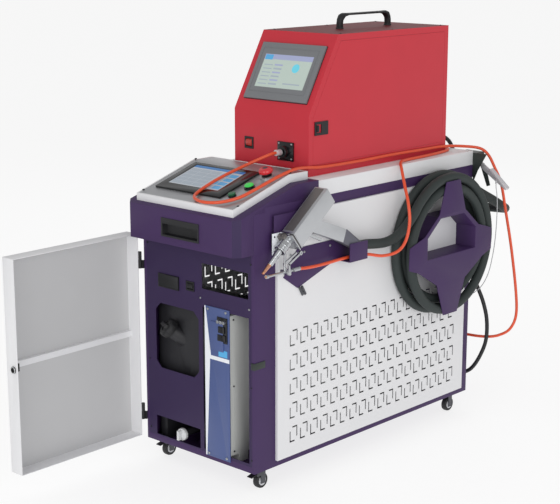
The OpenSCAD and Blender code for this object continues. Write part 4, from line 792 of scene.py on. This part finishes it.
class WELDER_OT_console(bpy.types.Operator):
    """Console shell, rim, plate, touchscreen, pull handle and buttons"""

    bl_idname = "welder.console"
    bl_label = "Console"

    def execute(self, context):
        sizes = settings("welder_sizes")
        # Painted shade: the chamfer faces take a darker purple than the flat sides
        refine(
            "console_shell",
            ["purple", "purple_painted_shade"],
            sizes.edge,
            lambda c, n: 1 if 0.3 < abs(n.x) < 0.95 and n.y < -0.3 else 0,
        )
        refine("console_rim", ["white"], sizes.edge)
        refine("console_plate", ["plate"], 0.25)
        refine("pull_handle", ["black"], 0.8)
        refine("touchscreen", ["gloss_black"], 0.8)
        bm = bmesh.new()
        for spot in ((-203, 25), (-202, 260), (203, 27), (203, 262)):
            screw(bm, on_plate(spot, -1), sizes.screw * 1.2)
        piece("console_screws", bm, ["dark_screw"])
        bm = bmesh.new()
        cuboid(bm, (248.8, 250.4), (-472, -343), (750, 858))
        soften(bm, 0.3)
        piece("console_side_plate", bm, ["purple"])
        self.screen_picture(sizes.tile_gap)
        self.buttons()
        return {"FINISHED"}

    def screen_picture(self, gap):
        """The lit page with a header bar, three columns of tiles and two of keys."""
        bm = bmesh.new()
        tiles = [((-150, 65), (85, 215), 4.3, 0), ((-150, 65), (201, 215), 4.6, 2)]
        wide, high = 44, 21
        for column in range(3):
            for row in range(5):
                x = -145 + column * wide
                s = 92 + row * high
                tiles.append(((x, x + wide - gap), (s, s + high - gap), 4.6, 1))
        high = 26
        for row in range(4):
            s = 92 + row * high
            tiles.append(((-8, 24), (s, s + high - 2 * gap), 4.6, 3 if row % 2 else 1))
            tiles.append(((28, 60), (s, s + high - 2 * gap), 4.6, 3))
        for x, s, top, index in tiles:
            cuboid(bm, x, s, (top - 0.25, top), index, PANEL_PLACE)
        piece("screen_picture", bm, ["page", "tile", "bar_blue", "tile_blue"])

    def buttons(self):
        """The stop mushroom and the two push buttons, each on its own body."""
        bm = bmesh.new()
        place = on_plate(STOP_SPOT)
        turned(bm, [(11, -14), (11, 17)], place, 1)
        crown = [(11, 15.5), (17, 16), (21.2, 18.4), (22, 21.6), (21.4, 26.4)]
        crown += [(18.4, 30.4), (13, 32.4), (8.6, 33), (8.2, 32), (0, 31.8)]
        turned(bm, crown, place)
        turned(bm, [(8, 31.4), (8, 32.8), (7.2, 33.2), (0, 33.2)], place, 2)
        stand_in("emergency_stop", bm, ["red_plastic", "black", "bracket"])

        # Both lenses stand clear of the 3.3 mm bezels when they are pressed by 4 and 3 mm
        bm = bmesh.new()
        place = on_plate(START_SPOT)
        turned(bm, [(12.4, -14), (12.4, 7.9)], place, 1)
        turned(bm, [(12.4, 7.7), (14.2, 8.1), (14.4, 10), (12.6, 12), (7, 13.2), (0, 13.4)], place)
        stand_in("start_button", bm, ["glow_green", "gloss_black"])

        bm = bmesh.new()
        lens = [(8.9, -14), (8.9, 6.7), (11.8, 6.9), (12, 8.8), (10.6, 10.2), (0, 10.8)]
        turned(bm, lens, on_plate(RESET_SPOT))
        stand_in("reset_button", bm, ["reset"])

        bm = bmesh.new()
        for spot, r, bore in ((START_SPOT, 17.4, 12.9), (RESET_SPOT, 12.9, 9.3)):
            turned(bm, [(r, -1), (r, 2.8), (r - 0.5, 3.3), (bore, 3.3)], on_plate(spot))
        place = on_plate(STOP_SPOT)
        turned(bm, [(17.4, -1), (17.4, 4.6), (16.8, 5.2), (14, 5.2)], place, 1)
        turned(bm, [(16, 5), (16, 9), (15.4, 9.6), (11.6, 9.6)], place)
        piece("button_bezels", bm, ["gloss_black", "pale_plastic"])


class WELDER_OT_inside(bpy.types.Operator):
    """Tank, laser source, control box, cooling unit and what the front plate carries"""

    bl_idname = "welder.inside"
    bl_label = "Inside"

    def execute(self, context):
        refine("water_tank", ["tank"], 1.5)
        refine("thermostat", ["gloss_black"], 0.5)
        refine("chiller_switch", ["black"], 0.4)
        refine("laser_source", ["chassis"], 1.0)
        refine("control_box", ["zinc"], 1.0)
        # Fins for the condenser at the left, zinc for the fan guard, black for what stands right of it
        refine(
            "chiller_unit",
            ["zinc", "fins", "black"],
            region=lambda c, n: 1 if c.x < -180 else (2 if c.x > -60 else 0),
        )
        refine("cooling_fan", ["black"], 0.4)
        self.caps()
        self.laser_panel()
        bm = bmesh.new()
        cuboid(bm, (-164, -120), (-548.2, -549.6), (603, 621))
        cuboid(bm, (-112, -90), (-548.2, -549.4), (606, 618), 1)
        piece("thermostat_display", bm, ["glass", "grey"])
        return {"FINISHED"}

    def caps(self):
        """The filler cap with its grip bar and the pale drain cap."""
        bm = bmesh.new()
        cap = [(23.3, 34), (30, 34), (31, 36), (31, 52), (30, 55), (26, 58), (18, 60), (17, 57), (0, 57)]
        turned(bm, cap, NECK_PLACE, steps=36)
        ribs = 12
        for i in range(ribs):
            turn = Matrix.Rotation(i * math.tau / ribs, 4, "Z")
            cuboid(bm, (29.6, 31.6), (-2.6, 2.6), (36, 53), 0, NECK_PLACE @ turn)
        cuboid(bm, (-24, 24), (-6, 6), (56, 68.5), 0, NECK_PLACE)
        soften(bm, 0.6)
        stand_in("filler_cap", bm, ["black"])

        bm = bmesh.new()
        place = facing(-89, -528, 112, (0, -1, 0))
        cap = [(7, -8), (7, 0), (19, 0), (20, 1.5), (20, 10), (18.5, 12), (12, 12.4), (11, 14), (0, 14)]
        turned(bm, cap, place, steps=30)
        cuboid(bm, (-4, 4), (-15, 15), (12, 28), 0, place)
        soften(bm, 0.5)
        stand_in("drain_cap", bm, ["pale_plastic"])

    def laser_panel(self):
        """Blue front panel with a pale slanted stripe, its connector block and rack screws."""
        refine("laser_front_panel", ["blue"], 0.4)
        bm = bmesh.new()
        # Stripe of 0.6 mm: along the left edge, with a bar to the right under the connectors
        outline = [(34.2, 82), (39, 82), (56, 398), (138.8, 398)]
        outline += [(138.8, 410), (60, 410), (38, 563), (34.2, 563)]
        rings = [[bm.verts.new(at(x, y, z)) for x, z in outline] for y in (-549.9, -550.5)]
        bm.faces.new(rings[1])
        for i in range(len(outline)):
            j = (i + 1) % len(outline)
            bm.faces.new((rings[0][i], rings[0][j], rings[1][j], rings[1][i]))
        bmesh.ops.recalc_face_normals(bm, faces=bm.faces)
        cuboid(bm, (93, 130), (-550.6, -549.9), (413, 434), 1)
        piece("laser_panel_marks", bm, ["pale", "tile_blue"])
        bm = bmesh.new()
        for x in (98, 110, 122):
            place = facing(x, -552, 524, (0, -1, 0))
            turned(bm, [(0, 5), (3.4, 5), (3.6, 8), (5.4, 8), (5.4, 0)], place, steps=16)
        cuboid(bm, (90, 132), (-553, -550), (458, 538), 1)
        cuboid(bm, (94, 128), (-556, -552), (464, 484), 1)
        cuboid(bm, (98, 124), (-557, -552), (490, 510), 1)
        soften(bm, 0.4)
        piece("laser_sockets", bm, ["screw", "gloss_black"])
        screws("laser_panel_screws", [(x, -550, z) for x in (48, 125) for z in (90, 554.6)], (0, -1, 0), 9)
        places = [(137.4, y, z) for y in (-530, -440, -340, -240) for z in (112, 322, 532)]
        screws("laser_case_screws", places, (1, 0, 0), 6, "dark_screw")


class WELDER_OT_door(bpy.types.Operator):
    """Front door, its lock, hinges and strike"""

    bl_idname = "welder.door"
    bl_label = "Front door"

    def execute(self, context):
        refine("front_door", ["white", "inner_grey", "black"], 0.7, self.door_region, merge=False)
        refine("door_lock", ["gloss_black"], 0.5)
        refine("door_hinges", ["black", "hook"], 0.3, lambda c, n: 1 if c.x > 0 else 0)
        bm = bmesh.new()
        place = facing(-267, -1046, 407, (0, -1, 0))
        turned(bm, [(11, 0), (11, 3), (10, 4), (8, 4.2), (8, 3), (0, 3)], place, steps=24)
        cuboid(bm, (-268, -266), (-1049.4, -1048.8), (402, 412), 1)
        piece("lock_face", bm, ["screw", "gloss_black"], "door_lock")
        return {"FINISHED"}

    def door_region(self, c, n):
        """Grey for the inner face, black for the hinge knuckles and white for the rest."""
        if c.y > -563:
            return 2
        return 1 if n.x > 0.5 and c.x < -290 else 0


class WELDER_OT_casters(bpy.types.Operator):
    """Forks, wheels with hubs and brake pedals"""

    bl_idname = "welder.casters"
    bl_label = "Casters"

    def execute(self, context):
        for side in ("left", "right"):
            refine(f"front_{side}_fork", ["bracket"], 0.5)
            refine(f"front_{side}_pedal", ["black"], 0.6)
            x = -CASTER_X if side == "left" else CASTER_X
            self.wheel(f"front_{side}_wheel", x, -CASTER_Y)
            self.wheel(f"rear_{side}_wheel", x, CASTER_Y)
        refine("rear_forks", ["bracket"], 0.5)
        return {"FINISHED"}

    def wheel(self, node, x, y):
        """A tyre with rounded shoulders on a pale hub."""
        bm = bmesh.new()
        place = facing(x, y, WHEEL_R, (1, 0, 0))
        # Each outline is given for one side of the wheel and closed over its mirror image
        tyre = [(15.5, -9), (17, -9.8), (21, -10), (24, -8), (25, -5)]
        hub = [(4.1, -9.8), (8, -9.8), (8.4, -7.5), (14, -7.5), (15.8, -9.4)]
        for index, (half, steps) in enumerate(((tyre, 48), (hub, 32))):
            outline = half + [(r, -h) for r, h in reversed(half)] + half[:1]
            turned(bm, outline, place, index, steps)
        stand_in(node, bm, ["tyre", "hub"])


class WELDER_OT_feeder(bpy.types.Operator):
    """Wire feeder case, its door, latch, handle, screen, switch and wire outlet"""

    bl_idname = "welder.feeder"
    bl_label = "Wire feeder"

    def execute(self, context):
        sizes = settings("welder_sizes")
        refine("feeder_shell", ["red", "black", "red_top_painted_shade"], region=self.shell_region)
        # Black for the latch frame, which stands out of the door
        refine("feeder_door", ["red", "black"], region=lambda c, n: 1 if c.x > 177.2 else 0)
        refine("feeder_latch", ["black"], 0.4)
        refine("feeder_screen", ["grey"], 1.4, segments=3)
        refine("feeder_switch", ["glow_red"], 0.4)
        refine("wire_outlet", ["gloss_black", "silver"], 0.6, self.outlet_region)
        places = [(84 + sx * 26, -242, 1005.5 + sz * 23) for sx in (-1, 1) for sz in (-1, 1)]
        screws("outlet_screws", places, (0, -1, 0), 7)
        self.handle()
        self.screen_picture()
        places = [(HANDLE_X + x, y, FEEDER_TOP) for x in (-140, 140) for y in (-70, 190, 450)]
        screws("feeder_top_screws", places, (0, 0, 1), sizes.screw, "dark_screw")
        # Wound wire between the flanges of the spool
        refine(
            "wire_spool",
            ["black", "wire"],
            0.3,
            lambda c, n: 1 if 58 < c.x < 110 and abs(n.x) < 0.5 else 0,
        )
        for node in ("feed_motor", "drive_roller", "pressure_roller"):
            refine(node, ["zinc"], 0.3)
        return {"FINISHED"}

    def shell_region(self, c, n):
        """Black for the switch frame and the rear gland, a darker red painted as shade on the top, red for
        the rest.
        """
        if n.z > 0.95 and c.z > FEEDER_TOP - 1:
            return 2
        if c.y > 471.2:
            return 1
        if c.y < -237.2 or (c.y < -224 and abs(c.x + 75) < 20 and abs(c.z - 1017) < 20):
            return 1
        return 0

    def outlet_region(self, c, n):
        """Pale metal for both ends of the tube, black for the flange, its boss and the nut."""
        return 1 if c.y < -273 or c.y > -236.5 else 0

    def handle(self):
        """Strap handle: a flat bar that bends down into two legs with round feet."""
        bm = bmesh.new()
        # From the front foot to the middle of the bar, then mirrored to the rear foot
        half = [(91, 1362), (91, 1380), (93, 1391), (99, 1400), (110, 1406), (130, 1407.5), (215.5, 1407.5)]
        route = [Vector((HANDLE_X, y, z)) for y, z in half]
        route += [Vector((HANDLE_X, sum(HANDLE_FEET) - y, z)) for y, z in reversed(half[:-1])]
        last = len(route) - 1
        side = Vector((1, 0, 0))
        corners = 12
        rings = []
        for i, spot in enumerate(route):
            up = (route[min(i + 1, last)] - route[max(i - 1, 0)]).normalized().cross(side)
            leg = min(i, last - i)
            flat = 11 if leg > 2 else 10
            thick = 3.8 if leg > 4 else (6.5 if leg > 3 else 9.5)
            ring = []
            for k in range(corners):
                # A rounded rectangle: powers of the sine and cosine below one fill the corners
                x, y = math.cos(k * math.tau / corners), math.sin(k * math.tau / corners)
                corner = side * (flat * abs(x) ** 0.6 * math.copysign(1, x))
                corner += up * (thick * abs(y) ** 0.6 * math.copysign(1, y))
                ring.append(bm.verts.new((spot + corner) * MM))
            rings.append(ring)
        for a, b in zip(rings, rings[1:]):
            for k in range(corners):
                j = (k + 1) % corners
                bm.faces.new((a[k], a[j], b[j], b[k]))
        bm.faces.new(rings[0])
        bm.faces.new(list(reversed(rings[-1])))
        bmesh.ops.recalc_face_normals(bm, faces=bm.faces)
        for y in HANDLE_FEET:
            foot = facing(HANDLE_X, y, FEEDER_TOP, (0, 0, 1))
            turned(bm, [(13, 0), (13, 3), (12, 4.5), (9, 5)], foot, steps=28)
        stand_in("feeder_handle", bm, ["black"], angle=50)

    def screen_picture(self):
        """Lit page with a header bar, plain lines and a round mark, the frame's step and its seal."""
        bm = bmesh.new()
        bars = [((-83, 120), (78, 191), 6.4, 0), ((-83, 120), (174, 191), 6.6, 1)]
        bars += [((-80, -48), (172, 189), 6.8, 2)]
        for row in range(6):
            s = 88 + row * 13
            bars.append(((-74, -38), (s, s + 3), 6.6, 4))
            bars.append(((-30, 4), (s, s + 5), 6.6, 1 if row % 2 else 4))
        for x, s, top, index in bars + [((30, 100), (92, 96), 6.6, 4)]:
            cuboid(bm, x, s, (6.1, top), index, SLANT_PLACE)
        mark = SLANT_PLACE @ Matrix.Translation(at(62, 148, 6.4))
        turned(bm, [(15, 0), (15, 0.3), (0, 0.3)], mark, 3, 28)
        piece("feeder_screen_picture", bm, ["cream", "lilac", "tile_blue", "cyan", "tile"])
        bm = bmesh.new()
        wide, high = (-100, 132), (61, 214)
        for x, s in ((wide, (61, 63)), (wide, (212, 214)), ((-101, -99), high), ((131, 133), high)):
            cuboid(bm, x, s, (6.6, 7.9), 0, SLANT_PLACE)
        soften(bm, 0.4)
        piece("feeder_screen_step", bm, ["grey"])
        bm = bmesh.new()
        cuboid(bm, (-115, 154), (36, 233), (-0.6, 0.5), 0, SLANT_PLACE)
        piece("feeder_screen_seal", bm, ["gloss_black"])


class WELDER_OT_gun(bpy.types.Operator):
    """Welding gun with its nozzle, trigger and holder"""

    bl_idname = "welder.gun"
    bl_label = "Welding gun"

    def execute(self, context):
        refine("gun_holder", ["purple"], 0.6)
        refine("gun_body", ["gun", "boot"], 1.6, self.body_region, 3)
        refine("gun_nozzle", ["chrome", "copper", "pale"], 0.3, self.nozzle_region)
        refine("gun_trigger", ["chrome"], 1.0)
        self.head()
        self.wire_guide()
        places = [(260, y, z) for y in (-480, -454) for z in (753, 797)]
        screws("side_plate_screws", places, (1, 0, 0), 6, "dark_screw")
        bm = bmesh.new()
        for y in (-362, -350):
            tab = facing(252, y, 623, (0, 0.52, -0.86))
            cuboid(bm, (-2, 2), (-3.5, 3.5), (0, 34), 0, tab)
        soften(bm, 0.5)
        piece("holder_tabs", bm, ["bracket"])
        screws("holder_screws", [(252, y, 728) for y in (-400, -340, -220)], (1, 0, 0), 8)
        return {"FINISHED"}

    def head(self):
        """Bright flanges, lens rings and nozzle sleeve; dark block and cover on the barrel."""
        bm = bmesh.new()
        for y in (-190.4, -199.6):
            cuboid(bm, (-26, 26), (y, y + 4.2), (-30, 31), 0, BARREL_PLACE)
        soften(bm, 1.2)
        forward = Matrix.Rotation(math.pi / 2, 4, "X")
        for y in (-208, -224, -241):
            place = BARREL_PLACE @ Matrix.Translation(at(0, y, 12)) @ forward
            turned(bm, [(15, 0), (17.4, 0.6), (18.2, 2), (18.2, 5), (17.4, 6.4), (15, 7)], place, steps=40)
        place = BARREL_PLACE @ Matrix.Translation(at(0, -264, 8.9)) @ forward
        turned(bm, [(4.6, 0), (7, 0.5), (7.4, 3), (7.4, 33), (6.6, 36), (4.6, 37.6)], place, steps=36)
        piece("clamp_flanges", bm, ["chrome"])
        bm = bmesh.new()
        cuboid(bm, (-22, 22), (-196, -186), (-24, 27), 0, BARREL_PLACE)
        cuboid(bm, (-25, 6), (-214, -199), (-6, 36), 0, BARREL_PLACE)
        soften(bm, 1.5)
        for x in (-16, -4):
            screw(bm, BARREL_PLACE @ Matrix.Translation(at(x, -206, 36)), 7)
        cuboid(bm, (-21.5, 13), (-178, -4), (28, 29.1), 0, BARREL_PLACE)
        piece("lens_block", bm, ["gun_dark"])

    def wire_guide(self):
        """Two cranked arms with a round eye that carry the wire's guide tube, and its collars."""
        bm = bmesh.new()
        for x, path in (
            (298, ((-408, 743), (-459, 717), (-455, 686))),
            (266, ((-392, 735), (-444, 711), (-438, 690))),
        ):
            for a, b in zip(path, path[1:]):
                start = Vector((x, *a))
                along = Vector((x, *b)) - start
                turn = Matrix.Translation(start * MM) @ along.to_track_quat("Y", "Z").to_matrix().to_4x4()
                cuboid(bm, (-2.5, 2.5), (-3, along.length + 3), (-3.5, 3.5), 0, turn)
        cuboid(bm, (264, 300), (-460, -450), (684, 696))
        soften(bm, 0.8)
        for r, h, place in (
            (6.5, 3.4, facing(298, -408, 743, (1, 0, 0))),
            (6, 4, facing(282, -536, 691, (0, 1, 0))),
            (6.4, 14, facing(282, -408, 691, (0, 1, 0))),
        ):
            turned(bm, [(3, -h), (r, -h), (r, h), (3, h), (3, -h)], place, steps=24)
        piece("wire_guide_arms", bm, ["chrome"])

    def body_region(self, c, n):
        """Blasted metal, and rubber for the boot."""
        return 1 if c.y > -203 and c.z < 790 else 0

    def nozzle_region(self, c, n):
        """Copper for the tip, white for the side plate and chrome for the tubes."""
        local = BARREL_PLACE.inverted() @ (c * MM) / MM
        if local.y < -302:
            return 1
        return 2 if c.x < 261 and -489 < c.y < -445 and 742 < c.z < 808 else 0


class WELDER_OT_hanger(bpy.types.Operator):
    """Cross-shaped hose hanger on its hexagonal box"""

    bl_idname = "welder.hanger"
    bl_label = "Hose hanger"

    def execute(self, context):
        refine("hose_hanger", ["purple"], 0.8, merge=False)
        return {"FINISHED"}


class WELDER_OT_clamp(bpy.types.Operator):
    """Cable hook and the earth clamp that hangs on it"""

    bl_idname = "welder.clamp"
    bl_label = "Hook and clamp"

    def execute(self, context):
        refine("cable_hook", ["hook"], 0.5)
        refine("earth_clamp", ["silver"], 0.6)
        refine("clamp_jaw", ["hook"], 0.6)
        start = Vector((296, 576.5, 872))
        along = Vector((364, 576.5, 813)) - start
        grip = Matrix.Translation(start * MM) @ along.to_track_quat("X", "Y").to_matrix().to_4x4()
        bm = bmesh.new()
        cuboid(bm, (0, along.length + 3), (-5.5, 5.5), (-10, 10), 0, grip)
        soften(bm, 2.5)
        piece("clamp_grip", bm, ["silver"])
        screws("hook_screws", [(x, 550, 905) for x in (195, 228)], (0, 1, 0), 8)
        return {"FINISHED"}


STEPS = (
    WELDER_OT_stage,
    WELDER_OT_hose,
    WELDER_OT_cords,
    WELDER_OT_cabinet,
    WELDER_OT_console,
    WELDER_OT_inside,
    WELDER_OT_door,
    WELDER_OT_casters,
    WELDER_OT_feeder,
    WELDER_OT_gun,
    WELDER_OT_hanger,
    WELDER_OT_clamp,
)
GROUPS = {
    "welder_paint": PaintColours,
    "welder_plastic": PlasticColours,
    "welder_metal": MetalColours,
    "welder_sizes": DetailSizes,
    "welder_stage": StageSettings,
}


class WELDER_PT_panel(bpy.types.Panel):
    """Settings and steps of the machine"""

    bl_label = "Laser welding machine"
    bl_idname = "WELDER_PT_panel"
    bl_space_type = "VIEW_3D"
    bl_region_type = "UI"
    bl_category = "Welder"

    def draw(self, context):
        for name, group in GROUPS.items():
            box = self.layout.box()
            for key in group.__annotations__:
                box.prop(getattr(context.scene, name), key)
        for step in STEPS:
            self.layout.operator(step.bl_idname)


def register():
    for kind in (*GROUPS.values(), *STEPS, WELDER_PT_panel):
        bpy.utils.register_class(kind)
    for name, group in GROUPS.items():
        setattr(bpy.types.Scene, name, PointerProperty(type=group))


def unregister():
    for name in GROUPS:
        delattr(bpy.types.Scene, name)
    for kind in reversed((*GROUPS.values(), *STEPS, WELDER_PT_panel)):
        bpy.utils.unregister_class(kind)


def main():
    register()
    for step in STEPS:
        family, action = step.bl_idname.split(".")
        getattr(getattr(bpy.ops, family), action)()


if __name__ == "__main__":
    main()
